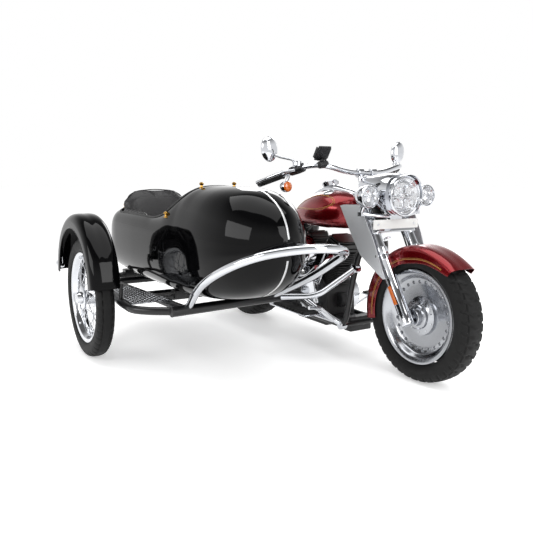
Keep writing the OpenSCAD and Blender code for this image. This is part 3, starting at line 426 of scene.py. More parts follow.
def settle_nodes(name, mesh, group, settings, body):
    """Runs a node group over a mesh and keeps the result as a plain object."""
    carrier = bpy.data.objects.new(name + "_carrier", mesh)
    bpy.context.scene.collection.objects.link(carrier)
    modifier = carrier.modifiers.new("repeat", "NODES")
    modifier.node_group = group
    for item in group.interface.items_tree:
        if item.item_type == "SOCKET" and item.in_out == "INPUT" and item.name in settings:
            modifier[item.identifier] = settings[item.name]
    view = bpy.context.evaluated_depsgraph_get()
    result = bpy.data.meshes.new_from_object(carrier.evaluated_get(view), depsgraph=view)
    bpy.data.objects.remove(carrier)
    made = bpy.data.objects.new(name, result)
    bpy.context.scene.collection.objects.link(made)
    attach(made, body)
    return made


def points_facing(places, directions):
    """A mesh of tiny triangles, one a place, each facing its direction: screw heads are stood on them."""
    mesh = bpy.data.meshes.new("screw_places")
    points, faces = [], []
    for p, d in zip(places, directions):
        side = d.cross(Vector((0, 0, 1)) if abs(d.z) < 0.9 else Vector((1, 0, 0))).normalized()
        across = d.cross(side)
        first = len(points)
        for k in range(3):
            a = 2 * math.pi * k / 3
            points.append(p + (side * math.cos(a) + across * math.sin(a)) * 0.0001)
        faces.append((first, first + 1, first + 2))
    mesh.from_pydata(points, [], faces)
    return mesh


def screws(name, places, directions, radius, height, material, body, sides=6):
    """Hexagon heads on faces' centres."""
    group = repeat_tree(name + "_nodes", radius / 1000, height / 1000, material, sides)
    mesh = points_facing(places, directions)
    centres = group.nodes.new("GeometryNodeMeshToPoints")
    centres.mode = "FACES"
    start = next(n for n in group.nodes if n.bl_idname == "NodeGroupInput")
    spread = next(n for n in group.nodes if n.bl_idname == "GeometryNodeInstanceOnPoints")
    keep = group.nodes.new("GeometryNodeCaptureAttribute")
    keep.domain = "FACE"
    keep.capture_items.new("VECTOR", "Facing")
    normal = next(n for n in group.nodes if n.bl_idname == "GeometryNodeInputNormal")
    facing = next(n for n in group.nodes if n.bl_idname == "FunctionNodeAlignRotationToVector")
    group.links.new(start.outputs["Points"], keep.inputs[0])
    group.links.new(normal.outputs[0], keep.inputs[1])
    group.links.new(keep.outputs[0], centres.inputs["Mesh"])
    group.links.new(centres.outputs[0], spread.inputs["Points"])
    group.links.new(keep.outputs[1], facing.inputs["Vector"])
    return settle_nodes(name, mesh, group, {"Head radius": radius / 1000, "Head height": height / 1000}, body)


cover_bolts = [at(870 + 98 * math.cos(a), 161, 288 + 98 * math.sin(a)) for a in (math.radians(-80 + 32 * i)
               for i in range(6))]
cover_bolts += [at(600 + 88 * math.cos(a), 161, 310 + 88 * math.sin(a)) for a in (math.radians(100 + 32 * i)
                for i in range(6))]
screws("cover_bolts", cover_bolts, [Vector((0, 1, 0))] * len(cover_bolts), 5, 8, bright_alloy, "chassis")
timing_bolts = [at(880 + 70 * math.cos(a), -143, 268 + 70 * math.sin(a)) for a in (math.radians(200 + 35 * i)
                for i in range(5))]
screws("timing_cover_bolts", timing_bolts, [Vector((0, -1, 0))] * 5, 5, 8, bright_alloy, "chassis")

jug_parts, bright_parts, tube_parts = [], [], []
for lean in (-22.5, 22.5):
    turn = Matrix.Rotation(math.radians(lean), 3, "Y")
    base = Vector((crank_x, 0, crank_z))

    def up(x, y, s, turn=turn, base=base):
        return base + turn @ Vector((x, y, s))

    def slab(half_x, half_y, s0, s1, cut, number=0, up=up):
        """A fin or box square to the cylinder, with its corners cut off."""
        ring = [(half_x, half_y - cut), (half_x - cut, half_y), (cut - half_x, half_y), (-half_x, half_y - cut),
                (-half_x, cut - half_y), (cut - half_x, -half_y), (half_x - cut, -half_y),
                (half_x, cut - half_y)]
        points, faces = skin([[at(*up(x, y, s)) for x, y in ring] for s in (s0, s1)])
        return points, faces, number

    jug_parts.append(slab(60, 60, 112, 262, 30))
    for i in range(11):
        jug_parts.append(slab(80, 84, 146 + i * 11, 149.5 + i * 11, 34))
    for i in range(6):
        jug_parts.append(slab(74, 86, 272 + i * 12, 276 + i * 12, 22))
    jug_parts.append(slab(58, 70, 262, 346, 20))
    bright_parts.append(slab(68, 90, 344, 362, 26))
    bright_parts.append(slab(64, 86, 362, 392, 24))
    bright_parts.append(slab(56, 76, 392, 404, 24))
    for x in (-22, 22):
        foot, top = up(x * 0.7 + (10 if lean < 0 else -10), -104, 96), up(x, -88, 346)
        tube_parts.append(pipe([foot, foot.lerp(top, 0.5), top], 10, 10))
        tube_parts.append(turned(foot, top, [(0, 15), (26, 15), (28, 12), (60, 12), (62, 10)]))
merge_parts("cylinder_fins", jug_parts, [wrinkle_black], "chassis", ["cylinders"])
merge_parts("rocker_boxes", bright_parts, [frame_enamel], "chassis", bevel=5, segments=3)
merge_parts("push_rod_tubes", tube_parts, [chrome], "chassis")
rocker_bolts, rocker_ways = [], []
for lean in (-22.5, 22.5):
    turn = Matrix.Rotation(math.radians(lean), 3, "Y")
    for x in (-46, 46):
        for y in (-70, 0, 70):
            rocker_bolts.append(at(*(Vector((crank_x, 0, crank_z)) + turn @ Vector((x, y, 394)))))
            rocker_ways.append(turn @ Vector((0, 0, 1)))
screws("rocker_bolts", rocker_bolts, rocker_ways, 5.5, 10, bright_alloy, "chassis")

merge_parts("air_cleaner_cover", [
    turned((870, 18, 560), (870, -150, 560), [(0, 34), (168, 34)], 1),
    turned((870, -148, 560), (870, -222, 560), [(0, 60), (2, 92), (46, 94), (50, 99), (56, 100), (62, 99), (68,
                                                            92),
                                               (72, 80), (73, 30), (74, 0)]),
    turned((870, -220, 560), (870, -225, 560), [(0, 40), (4, 38), (5, 0)], 1),
], [chrome, wrinkle_black], "chassis", ["air_cleaner"])

# ---------------------------------------------------------------- exhausts
# Two header pipes sweep back into a stacked pair of long silencers, all chrome-plated steel.
# A plain heat shield is clamped over the upper bend.

exhaust_parts = [
    pipe([(1010, -85, 560), (1092, -140, 545), (1108, -242, 480), (1030, -250, 424), (620, -250, 384)], 22, 50),
    pipe([(735, -85, 548), (690, -150, 545), (728, -188, 430), (700, -196, 330), (610, -250, 285)], 20, 50),
    pipe([(1098, -236, 492), (1030, -253, 428), (760, -253, 402)], 26, 50),
    block(470, 500, -250, -122, 322, 344),
    block(-60, -30, -262, -238, 312, 372),
]
for z in (285, 384):
    exhaust_parts.append(turned((700, -250, z - 1), (-240, -250, z + 14), [
        (0, 24), (2, 30), (58, 31), (66, 40), (78, 42), (932, 42), (940, 41), (940, 37), (860, 36), (858, 10),
                                                            (857, 0)]))
    for x in (560, 120, -60):
        exhaust_parts.append(turned((x, -250, z + 8), (x - 14, -250, z + 8.2),
                                    [(0, 42), (1, 44), (13, 44), (14, 42)]))
merge_parts("exhaust_system", exhaust_parts, [chrome], "chassis", ["exhaust_pipes"])

# ---------------------------------------------------------------- side covers, footboards and stand
# The oil tank fills the corner behind the engine; it is pressed steel in black enamel.
# Rubber-topped boards carry the rider's feet.

# Moulded rubber: dull and slightly brown, with a pebbled face.
board_rubber = finish_material("moulded_rubber", "#171717", rough=0.7, grain=0.15, grain_size=2.2)

merge_parts("oil_tank_shell", [block(355, 457, -105, 105, 413, 602), block(446, 470, 80, 126, 490, 530),
            block(446, 470, -126, -80, 490, 530)], [frame_enamel], "chassis", ["oil_tank"], bevel=16,
            segments=4)
board_parts, pedal_parts = [], []
for x in (910, 1120):
    pedal_parts.append(pipe([(x, 130, 194), (x, 305, 266)], 9))
board_parts.append(block(850, 1180, 275, 375, 262, 270))
for i in range(11):
    board_parts.append(block(860 + i * 29, 878 + i * 29, 282, 368, 269, 281.5, 1))
pedal_parts.append(pipe([(1150, 130, 196), (1202, 295, 306)], 8))
pedal_parts.append(pipe([(1202, 295, 306), (1202, 367, 314)], 9))
merge_parts("footboards_and_rubbers", board_parts + [mirrored(p) for p in board_parts], [chrome, board_rubber],
            "chassis", ["footboards"], bevel=2)
merge_parts("pedal_arms", pedal_parts + [mirrored(p) for p in pedal_parts], [chrome], "chassis")
stand_parts = [
    turned((760, 154, 163), (760, 178, 163), [(0, 8.6), (0, 18), (24, 18), (24, 8.6)], hollow=True),
    pipe([(748, 166, 163), (620, 166, 163)], 9),
    block(612, 622, 154, 204, 147, 179),
]
merge_parts("folding_stand", stand_parts, [chrome], "side_stand", ["side_stand"], bevel=1.5)

# ---------------------------------------------------------------- fuel tank and console
# Two pressed steel halves seamed together and hung over the backbone tube, in candy red lacquer.
# A chromed console runs down the middle with the speedometer; two filler caps stand beside it.

# Candy lacquer: clear red over a bright base, so that it glows where light strikes and goes nearly black beside.
candy_red = finish_material("candy_red_lacquer", "#8c0411", metallic=0.72, rough=0.24, coat=0.55,
                            coat_rough=0.03,
                            colour_two="#74030c", patch_size=180, grain=0.02, grain_size=9)
# Hand-laid enamel line under the clear coat.
gold_line = finish_material("gold_enamel_line", "#b98a3c", metallic=0.4, rough=0.35, coat=0.5)
# Printed card behind the instrument's glass.
dial_card = finish_material("cream_dial_card", "#e9e4d2", rough=0.6)


def power(v, e):
    return math.copysign(abs(v) ** (2 / e), v)


def hull_ring(x, y, w, zb, zm, zt, eb, et, n=64):
    """One section of a shell: half width w about y, from zb through the widest height zm up to zt."""
    ring = []
    for i in range(n):
        a = 2 * math.pi * i / n
        e = et if math.sin(a) >= 0 else eb
        ring.append(at(x, y + w * power(math.cos(a), e), zm + (zt - zm if math.sin(a) >= 0 else zm - zb) *
                       power(math.sin(a), e)))
    return ring


def blend_rows(rows, steps):
    """Rows of section sizes, with smooth ones filled in between (steps for each gap)."""
    out = []
    for i in range(len(rows) - 1):
        a, b = rows[i], rows[i + 1]
        before, after = rows[max(i - 1, 0)], rows[min(i + 2, len(rows) - 1)]
        for k in range(steps):
            t = k / steps
            row = [a[0] + (b[0] - a[0]) * t]
            for c in range(1, len(a)):
                gap = b[0] - a[0]
                into = (b[c] - before[c]) / (b[0] - before[0]) * gap if i else b[c] - a[c]
                away = (after[c] - a[c]) / (after[0] - a[0]) * gap if i < len(rows) - 2 else b[c] - a[c]
                if (b[c] - a[c]) * into <= 0:
                    into = 0
                if (b[c] - a[c]) * away <= 0:
                    away = 0
                row.append((2 * t ** 3 - 3 * t ** 2 + 1) * a[c] + (t ** 3 - 2 * t ** 2 + t) * into +
                           (3 * t ** 2 - 2 * t ** 3) * b[c] + (t ** 3 - t ** 2) * away)
            out.append(row)
    return out + [list(rows[-1])]


seam = 700
tank_rows = blend_rows([
    (640, 58, 8, 36, 62, 2.4, 2.2), (668, 96, 0, 42, 96, 2.6, 2.2), (720, 128, -5, 52, 140, 2.8, 2.2),
    (800, 152, -7, 62, 180, 3, 2.2), (880, 166, -7, 72, 200, 3, 2.3), (970, 171, -7, 82, 208, 3, 2.3),
    (1050, 160, -4, 88, 202, 2.8, 2.3), (1105, 134, 2, 92, 186, 2.6, 2.3), (1140, 98, 16, 94, 166, 2.4, 2.2),
    (1158, 58, 40, 95, 140, 2.2, 2.2)], 6)
points, faces = skin([hull_ring(r[0], 0, r[1], seam + r[2], seam + r[3], seam + r[4], r[5],
                                r[6]) for r in tank_rows])
merge_parts("tank_shell", [(points, faces, 0)], [candy_red], "chassis", ["fuel_tank"], sharp=70, levels=1)


def on_tank(x, degrees, side):
    """A point in millimetres on the tank's skin, at a height given by the section's angle."""
    row = min(tank_rows, key=lambda r: abs(r[0] - x))
    after = tank_rows[min(tank_rows.index(row) + 1, len(tank_rows) - 1)]
    t = 0 if after[0] == row[0] else max(-1, min(1, (x - row[0]) / (after[0] - row[0])))
    r = [p + (q - p) * t for p, q in zip(row, after)]
    a = math.radians(degrees)
    e = r[6] if degrees >= 0 else r[5]
    reach = r[4] - r[3] if degrees >= 0 else r[3] - r[2]
    return Vector((x, side * (r[1] * power(math.cos(a), e) + 0.3),
                   seam + r[3] + reach * power(math.sin(a), e) + 0.2))


def line_on(points, radius, number=0):
    """A thin raised line through close points in millimetres; the last joins the first."""
    rings = []
    for i, p in enumerate(points):
        ahead = (points[(i + 1) % len(points)] - points[i - 1]).normalized()
        side = ahead.cross(Vector((0, 1, 0.3))).normalized()
        across = ahead.cross(side)
        rings.append([at(*(p + side * radius * math.cos(math.pi * k / 3) + across * radius * math.sin(math.pi * k / 3)))
                      for k in range(6)])
    made, sides = skin(rings, caps=False, loop=True)
    return made, sides, number


stripes = []
for side in (-1, 1):
    for grow in (0, 1):
        loop = []
        for i in range(96):
            t = 2 * math.pi * i / 96
            taper = 0.62 + 0.38 * math.cos(t)
            loop.append(on_tank(892 + (188 + 9 * grow) * math.cos(t),
                                27 + (27 + 3.4 * grow) * taper * math.sin(t), side))
        stripes.append(line_on(loop, 1.5 - 0.5 * grow))
merge_parts("tank_pinstripes", stripes, [gold_line], "chassis")

console_rows = blend_rows([
    (668, 18, 60, 84, 104), (720, 32, 100, 132, 154), (800, 44, 140, 178, 204), (880, 52, 150, 200, 232),
    (950, 52, 160, 206, 236), (1020, 38, 170, 205, 222), (1080, 26, 160, 192, 208), (1112, 14, 150, 178, 190)],
                          4)
points, faces = skin([hull_ring(r[0], 0, r[1], seam + r[2], seam + r[3], seam + r[4], 2.2, 2.4,
                                40) for r in console_rows])
tilt = Vector((-math.sin(math.radians(18)), 0, math.cos(math.radians(18))))
dial_foot = Vector((885, 0, seam + 226))
console_parts = [(points, faces, 0),
                 turned(dial_foot, dial_foot + tilt * 10,
                        [(-6, 44), (14, 48), (19, 49), (23, 46), (22, 43), (16, 42), (14, 0)]),
                 turned(dial_foot, dial_foot + tilt * 10, [(14.2, 0), (14.2, 41), (15.4, 41), (15.4, 0)], 1)]
for side in (-1, 1):
    foot = Vector((985, side * 86, seam + 176))
    way = Vector((0.1, side * 0.37, 0.92)).normalized()
    console_parts.append(turned(foot, foot + way * 10,
                                [(0, 31), (18, 31), (22, 29), (25, 24), (26, 8), (26, 0)]))
merge_parts("console_and_caps", console_parts, [chrome, dial_card], "chassis", ["tank_console"])
# Stamped ticks around the dial.
tick_parts = []
dial_x = Vector((math.cos(math.radians(18)), 0, math.sin(math.radians(18))))
for i in range(25):
    a = math.radians(-120 + 10 * i)
    way = -dial_x * math.cos(a) * -1 + Vector((0, 1, 0)) * math.sin(a)
    centre = dial_foot + tilt * 15.6
    inner, outer = (30 if i % 4 == 0 else 34), 38.5
    side = tilt.cross(way) * (1.0 if i % 4 == 0 else 0.5)
    corners = [centre + way * inner - side, centre + way * outer - side, centre + way * outer + side,
               centre + way * inner + side]
    points, faces = skin([[at(*(c + tilt * h)) for c in corners] for h in (0, 0.4)])
    tick_parts.append((points, faces, 0))
merge_parts("dial_ticks", tick_parts, [frame_enamel], "chassis")

# ---------------------------------------------------------------- seats
# Moulded foam under black cowhide.
# Each pad is blown up against its own skin, so that it crowns between its edges.

# Finished cowhide: pores drawn about 2.4 mm apart so that they show, with a low waxed sheen.
leather = finish_material("black_cowhide", "#141315", rough=0.4, grain=0.22, grain_size=2.4, kind="cells",
                          colour_two="#1c1b1d", rough_spread=0.1, patch_size=90)
# Waxed polyester thread, laid as a raised line.
thread = finish_material("waxed_grey_thread", "#4a484c", rough=0.6)


def padded_piece(name, parts, body, nodes, swell=0.006, most=0.010, voxel=0.006):
    """A cushion swelled under inner pressure from a slightly smaller closed form."""
    blank = merge_parts(name + "_blank", parts, [leather], body)
    mesh = blank.data
    bpy.data.objects.remove(blank)
    pad = bpy.data.objects.new(name, mesh)
    bpy.context.scene.collection.objects.link(pad)
    view = bpy.context.evaluated_depsgraph_get()
    remesh = pad.modifiers.new("voxels", "REMESH")
    remesh.mode, remesh.voxel_size, remesh.use_smooth_shade = "VOXEL", voxel, True
    view.update()
    pad.data = bpy.data.meshes.new_from_object(pad.evaluated_get(view), depsgraph=view)
    pad.modifiers.clear()
    rest = [v.co.copy() for v in pad.data.vertices]
    cloth = pad.modifiers.new("cloth", "CLOTH")
    cloth.settings.use_pressure = True
    cloth.settings.uniform_pressure_force = 4
    cloth.settings.effector_weights.gravity = 0
    cloth.settings.quality = 5
    for number in range(1, 21):
        bpy.context.scene.frame_set(number)
    view = bpy.context.evaluated_depsgraph_get()
    swollen = bpy.data.meshes.new_from_object(pad.evaluated_get(view), depsgraph=view)
    bpy.context.scene.frame_set(1)
    pad.modifiers.clear()
    for vertex, before, after in zip(pad.data.vertices, rest, swollen.vertices):
        move = after.co - before
        vertex.co = before + (move if move.length <= most else move.normalized() * most)
    bpy.data.meshes.remove(swollen)
    pad.data.materials.clear()
    pad.data.materials.append(leather)
    for face in pad.data.polygons:
        face.use_smooth = True
    smooth = pad.modifiers.new("subdivision", "SUBSURF")
    smooth.levels = smooth.render_levels = 1
    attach(pad, body)
    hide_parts(*nodes)
    return pad


base = 632
rider_rows = blend_rows([(288, 120, 66, 110), (318, 150, 50, 88), (380, 168, 36, 58), (470, 174, 32, 50),
                         (560, 160, 34, 58), (620, 128, 38, 70), (650, 90, 44, 78)], 4)
points, faces = skin([hull_ring(r[0], 0, r[1], base + 4, base + r[2], base + r[3], 4, 3.2,
                                40) for r in rider_rows])
padded_piece("rider_saddle", [(points, faces, 0)], "chassis", ["rider_seat"])
pillion_rows = blend_rows([(-38, 78, 62, 86, 106), (-18, 98, 50, 86, 120), (60, 108, 56, 90, 128),
                           (150, 112, 48, 92, 132), (240, 110, 14, 90, 134), (276, 100, -4, 84, 128)], 4)
points, faces = skin([hull_ring(r[0], 0, r[1], base + r[2], base + r[3], base + r[4], 4, 3,
                                40) for r in pillion_rows])
padded_piece("pillion_pad", [(points, faces, 0)], "chassis", ["passenger_seat"])

# ---------------------------------------------------------------- rear fender, lamp and plate
# A deep pressed fender in the tank's red, carrying a chromed lamp, two signals and a blank plate.
# Its edge is rolled over a wire, as pressed fenders are.

# Cast acrylic lenses, dyed through; ribs inside scatter the bulb's light.
red_lens = finish_material("ruby_acrylic", "#7d0a0e", rough=0.12, coat=1.0, grain=0.25, grain_size=5)
amber_lens = finish_material("amber_acrylic", "#d9690e", rough=0.14, coat=1.0, grain=0.3, grain_size=5)
# Stove-enamelled steel sheet, plain and without marks.
plate_enamel = finish_material("white_stove_enamel", "#e8e8e6", rough=0.25, coat=0.6)


def skirt_share(t, slim):
    """Share of a fender's full skirt at t along it, growing from slim at its front tip."""
    return slim + (1 - slim) * min(1, t * 3.2) ** 0.7


def fender_shell(centre_x, centre_y, centre_z, radius, half, skirt, corner, start, end, steps=64, lip=4.0,
                 thick=4.0,
                 flare=0.0, number=0, slim=1.0):
    """A channel of sheet bent round an axle, its two edges rolled into a bead."""
    def section(r, w, depth, c):
        line = [(r - depth, w), (r - c, w)]
        line += [(r - c + c * math.sin(math.pi * k / 16),
                  w - c + c * math.cos(math.pi * k / 16)) for k in range(1, 9)]
        line += [(r + 0.012 * w * (1 - (k / 4) ** 2), w - c - (w - c) * k / 4) for k in range(1, 4)]
        return line + [(r, 0)] + [(a, -b) for a, b in reversed(line)]
    outer = section(radius + thick, half, skirt + thick, corner)
    inner = section(radius, half - thick, skirt, corner - thick)
    loop = outer + list(reversed(inner))
    rings, beads = [], [[], []]
    for i in range(steps + 1):
        a = math.radians(start + (end - start) * i / steps)
        out = flare * max(0, 1 - i / steps * 6) ** 2
        deep = skirt_share(i / steps, slim)
        top = radius + thick
        rings.append([at(centre_x + (top - (top - r) * deep + out) * math.cos(a), centre_y + y,
                         centre_z + (top - (top - r) * deep + out) * math.sin(a)) for r, y in loop])
        edge = top - (top - outer[0][0]) * deep + out
        for side, bead in zip((1, -1), beads):
            bead.append((centre_x + edge * math.cos(a), centre_y + side * (half - lip / 2),
                         centre_z + edge * math.sin(a)))
    points, faces = skin(rings)
    return [(points, faces, number)] + [pipe(bead, lip / 1.3, 1, number, 8, 1) for bead in beads]


rear_parts = fender_shell(0, 0, 326, 348, 116, 78, 40, 38, 166)
for strut in (block(165, 255, 110, 124, 592, 626), block(-150, 150, 113, 120, 562, 588)):
    rear_parts += [strut, mirrored(strut)]
merge_parts("rear_fender_shell", rear_parts, [candy_red], "chassis", ["rear_fender"], sharp=50, bevel=0)
lamp_parts = [
    turned((-312, 0, 530), (-392, 0, 526), [(0, 30), (10, 38), (52, 41), (58, 43), (64, 41), (64, 37)]),
    turned((-312, 0, 530), (-392, 0, 526), [(60, 38), (70, 36), (78, 26), (80, 8), (80, 0)], 1),
    pipe([(-360, -150, 472), (-360, 150, 472)], 8),
    turned((-325, 0, 472), (-366, 0, 472), [(0, 24), (41, 24)]),
]
for side in (-1, 1):
    lamp_parts.append(turned((-318, side * 150, 472), (-392, side * 150, 472),
                             [(4, 0), (5, 10), (14, 20), (30, 25), (52, 26),
                                                                             (58, 27), (62, 25)]))
    lamp_parts.append(turned((-318, side * 150, 472), (-392, side * 150, 472),
                             [(58, 24), (68, 23), (73, 14), (74, 0)], 2))
merge_parts("tail_lamp_and_signals", lamp_parts, [chrome, red_lens, amber_lens], "chassis", ["tail_lamp"])
merge_parts("rear_plate_blank", [block(-440, -437, -118, 118, 342, 448), block(-437, -360, -30, 30, 412, 438,
                                                            1),
            block(-372, -350, -20, 20, 412, 470, 1)], [plate_enamel, frame_enamel], "chassis",
            ["rear_number_plate"], bevel=1.2)

# ---------------------------------------------------------------- wheels
# The motorcycle's are solid cast discs, turned and polished, with a ring of holes near the rim.
# The tyres are moulded rubber with cut treads.

# Polished cast aluminium: bright, with soft turning marks.
polished_alloy = finish_material("polished_aluminium", "#aeb0b4", metallic=1.0, rough=0.17, rough_spread=0.05,
                                 patch_size=40)
# Ground stainless steel of a brake disc.
ground_steel = finish_material("ground_stainless", "#a9abad", metallic=1.0, rough=0.3, grain=0.02,
                               grain_size=0.8)
# Vulcanised rubber: dull and nearly black, a shade lighter in patches.
tyre_rubber = finish_material("tyre_rubber", "#070707", rough=0.62, grain=0.2, grain_size=2.0, colour_two="#0d0d0d",
                              patch_size=30, rough_spread=0.12, specular=0.25)


def tyre_part(x, y, z, radius, width, bead, groove, steps=480, number=0):
    """A tyre's closed section swept round the axle, with its tread cut by the groove rule."""
    middle_r, reach = (radius + bead) / 2 - 2, (radius - bead) / 2 + 2
    rings = []
    profile = []
    for k in range(57):
        a = math.radians(-52 + 284 * k / 56)
        profile.append((middle_r + reach * math.copysign(abs(math.sin(a)) ** 0.8, math.sin(a)),
                        width / 2 * math.copysign(abs(math.cos(a)) ** 0.66, math.cos(a))))
    for i in range(steps):
        turn = 2 * math.pi * i / steps
        ring = []
        for r, w in profile:
            share = 2 * w / width
            deep = groove(i, share) if r > middle_r + reach * 0.45 else 0.0
            ring.append(at(x + (r - deep) * math.cos(turn), y + w, z + (r - deep) * math.sin(turn)))
        rings.append(ring)
    points, faces = skin(rings, caps=False, loop=True)
    return points, faces, number


def block_tread(i, share):
    wave = (i + 9 * abs(share) * (1 if share > 0 else -1)) % 12
    across = abs(share)
    if 0.22 < across < 0.3 or 0.62 < across < 0.68:
        return 5.5
    if across < 0.22:
        return 5.5 if (i + 6 * share) % 16 < 2.2 and across > 0.05 else 0.0
    return 5.5 if wave < 3.4 else 0.0


def ribbed_tread(i, share):
    across = abs(share)
    if 0.1 < across < 0.18 or 0.42 < across < 0.5:
        return 4.0
    return 3.5 if across > 0.5 and i % 8 < 2 else 0.0


def cut_away(piece, parts):
    """Takes the parts' volume out of a piece and keeps the result as a plain mesh."""
    cutter = merge_parts("cutter", parts, [], "chassis")
    view = bpy.context.evaluated_depsgraph_get()
    knife = piece.modifiers.new("cut", "BOOLEAN")
    knife.operation, knife.solver, knife.object = "DIFFERENCE", "EXACT", cutter
    view.update()
    mesh = bpy.data.meshes.new_from_object(piece.evaluated_get(view), depsgraph=view)
    piece.modifiers.clear()
    piece.data = mesh
    bpy.data.objects.remove(cutter)
    bm = bmesh.new()
    bm.from_mesh(mesh)
    for face in bm.faces:
        face.smooth = True
    for edge in bm.edges:
        edge.smooth = len(edge.link_faces) != 2 or edge.calc_face_angle(0) < math.radians(30)
    bm.to_mesh(mesh)
    bm.free()
    return piece


def disc_wheel_part(x, z, flange, hub, number=0):
    """Barrel, dished face and stepped hub turned in one about the axle."""
    seat = [(-flange, 229), (6 - flange, 229), (8 - flange, 214), (14 - flange, 208), (-18, 200)]
    face = [(flange, 220), (flange - 4, 210), (flange - 14, 198), (24, 191), (15, 180), (10, 150), (9, 96),
            (23, 91),
            (28, 66), (31, 62), (43, 59), (47, 55), (49, 46), (hub - 2, 44), (hub, 41), (hub, 12.6)]
    loop = seat + [(-y, r) for y, r in reversed(seat)] + face + [(-y, r) for y, r in reversed(face)]
    return turned((x, 0, z), (x, 1, z), loop, number, 112, hollow=True)


for name, x, z, radius, width, flange, hub, body, rim_node, tyre_node, tread in (
    ("front", 1638, 321, 321, 140, 55, 76, "front_wheel", "front_rim", "front_tyre", block_tread),
    ("rear", 0, 326, 326, 186, 81, 100, "rear_wheel", "rear_rim", "rear_tyre", block_tread),
):
    wheel = merge_parts(name + "_disc_wheel", [disc_wheel_part(x, z, flange, hub)], [polished_alloy], body,
                        sharp=28)
    cut_away(wheel, [turned((x + 166 * math.cos(a), -40, z + 166 * math.sin(a)), (x + 166 * math.cos(a), 40,
             z + 166 * math.sin(a)), [(0, 8.5), (80, 8.5)], sides=20)
             for a in (2 * math.pi * i / 26 for i in range(26))])
    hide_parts(rim_node)
    merge_parts(name + "_tyre_tread", [tyre_part(x, 0, z, radius, width, 230, tread)], [tyre_rubber], body,
                [tyre_node], sharp=40)
    studs = [(x + 78 * math.cos(a),
              z + 78 * math.sin(a)) for a in (2 * math.pi * (i + 0.5) / 10 for i in range(10))]
    places = [at(u, s * 23.5, v) for u, v in studs for s in (-1, 1)]
    ways = [Vector((0, s, 0)) for _ in studs for s in (-1, 1)]
    screws(name + "_hub_bolts", places, ways, 5, 7, chrome, body)
merge_parts("front_brake_disc", [turned((1638, 66, 321), (1638, 71, 321), [(0, 90), (0, 146), (5, 146), (5,
                                                            90)], 0, 96, True),
            turned((1638, 64, 321), (1638, 73, 321), [(0, 45), (0, 94), (9, 94), (9, 45)], 1, 64, True)],
            [ground_steel, wrinkle_black], "front_wheel")
merge_parts("rear_brake_disc", [turned((0, -104, 326), (0, -109, 326), [(0, 90), (0, 145), (5, 145), (5, 90)],
                                       0, 96, True),
            turned((0, -98, 326), (0, -110, 326), [(0, 13), (0, 94), (12, 94), (12, 13)], 1, 64, True)],
            [ground_steel, wrinkle_black], "rear_wheel")
merge_parts("belt_pulley", [turned((0, 101, 326), (0, 113, 326), [(0, 96), (0, 130), (1, 130), (1.5, 128),
                                                            (10.5, 128), (11, 130),
            (12, 130), (12, 96)], 0, 96, True), turned((0, 98, 326), (0, 119, 326), [(0, 13), (0, 98), (13,
                                                            98), (15, 40), (21, 38),
            (21, 13)], 1, 64, True)], [chrome, polished_alloy], "rear_wheel")
belt_parts = []
for way in (-1, 1):
    points, faces, number = block(0, 1, 101, 113, 0, 1)
    run = [at(x, y, z + h) for x, z in ((0, 326 + way * 133), (546, 318 + way * 46)) for h in (-2.5,
                                                            2.5) for y in (101, 113)]
    belt_parts.append((run, [(0, 1, 3, 2), (4, 6, 7, 5), (0, 4, 5, 1), (2, 3, 7, 6), (0, 2, 6, 4), (1, 5, 7,
                                                            3)], 0))
merge_parts("toothed_belt", belt_parts, [board_rubber], "chassis", ["drive_belt"])

# The sidecar's wheel is laced: a rolled steel rim hung from a drum hub on 36 wire spokes, all chromed.
side_x, side_y, side_z = 417, -1272, 324
rim_parts = [turned((side_x, side_y, side_z), (side_x, side_y + 1, side_z), [
    (-37, 245), (-33, 245), (-32, 232), (-27, 228), (-16, 226), (-8, 220), (8, 220), (16, 226), (27, 228),
                                                            (32, 232), (33, 245),
    (37, 245), (37, 240), (33, 228), (26, 223), (15, 220), (8, 214), (-8, 214), (-15, 220), (-26, 223),
                                                            (-33, 228), (-37, 240)],
    0, 112, True),
    turned((side_x, side_y, side_z), (side_x, side_y - 1, side_z), [
        (-45, 12.6), (-45, 56), (-42, 62), (-36, 62), (-33, 54), (-20, 40), (20, 40), (33, 54), (36, 62),
                                                            (42, 62), (45, 56),
        (46, 34), (60, 32), (70, 28), (72, 24), (72, 12.6)], 0, 64, True)]
for i in range(36):
    side = 1 if i % 2 == 0 else -1
    lean = 52 if (i // 2) % 2 == 0 else -52
    a = math.radians(10 * i)
    b = a + math.radians(lean)
    hub_end = Vector((side_x + 56 * math.cos(b), side_y - side * 36, side_z + 56 * math.sin(b)))
    rim_end = Vector((side_x + 217 * math.cos(a), side_y - side * 6, side_z + 217 * math.sin(a)))
    rim_parts.append(turned(hub_end, rim_end, [(0, 2.2), ((rim_end - hub_end).length - 16, 2.2)], 0, 8))
    rim_parts.append(turned(rim_end, hub_end, [(0, 3.6), (15, 3.6), (18, 2.4)], 0, 8))
merge_parts("laced_wheel", rim_parts, [chrome], "sidecar_wheel", ["side_rim", "side_hub", "side_spokes"],
            sharp=28)
merge_parts("sidecar_tyre_tread", [tyre_part(side_x, side_y, side_z, 324, 92, 245, ribbed_tread, 360)],
            [tyre_rubber],
            "sidecar_wheel", ["side_tyre"], sharp=40)

# ---------------------------------------------------------------- fork and front brake
# Chromed covers run from the clamps to polished sliders; the legs lean back with the steering axis.
# A four-piston caliper is bolted behind the left leg.

tilt_sin, tilt_cos = math.sin(math.radians(32)), math.cos(math.radians(32))


def steer(x, y, s):
    """Millimetres forward of, across and along the steering axis, from where it meets the ground."""
    return (1785 + x * tilt_cos - s * tilt_sin, y, x * tilt_sin + s * tilt_cos)


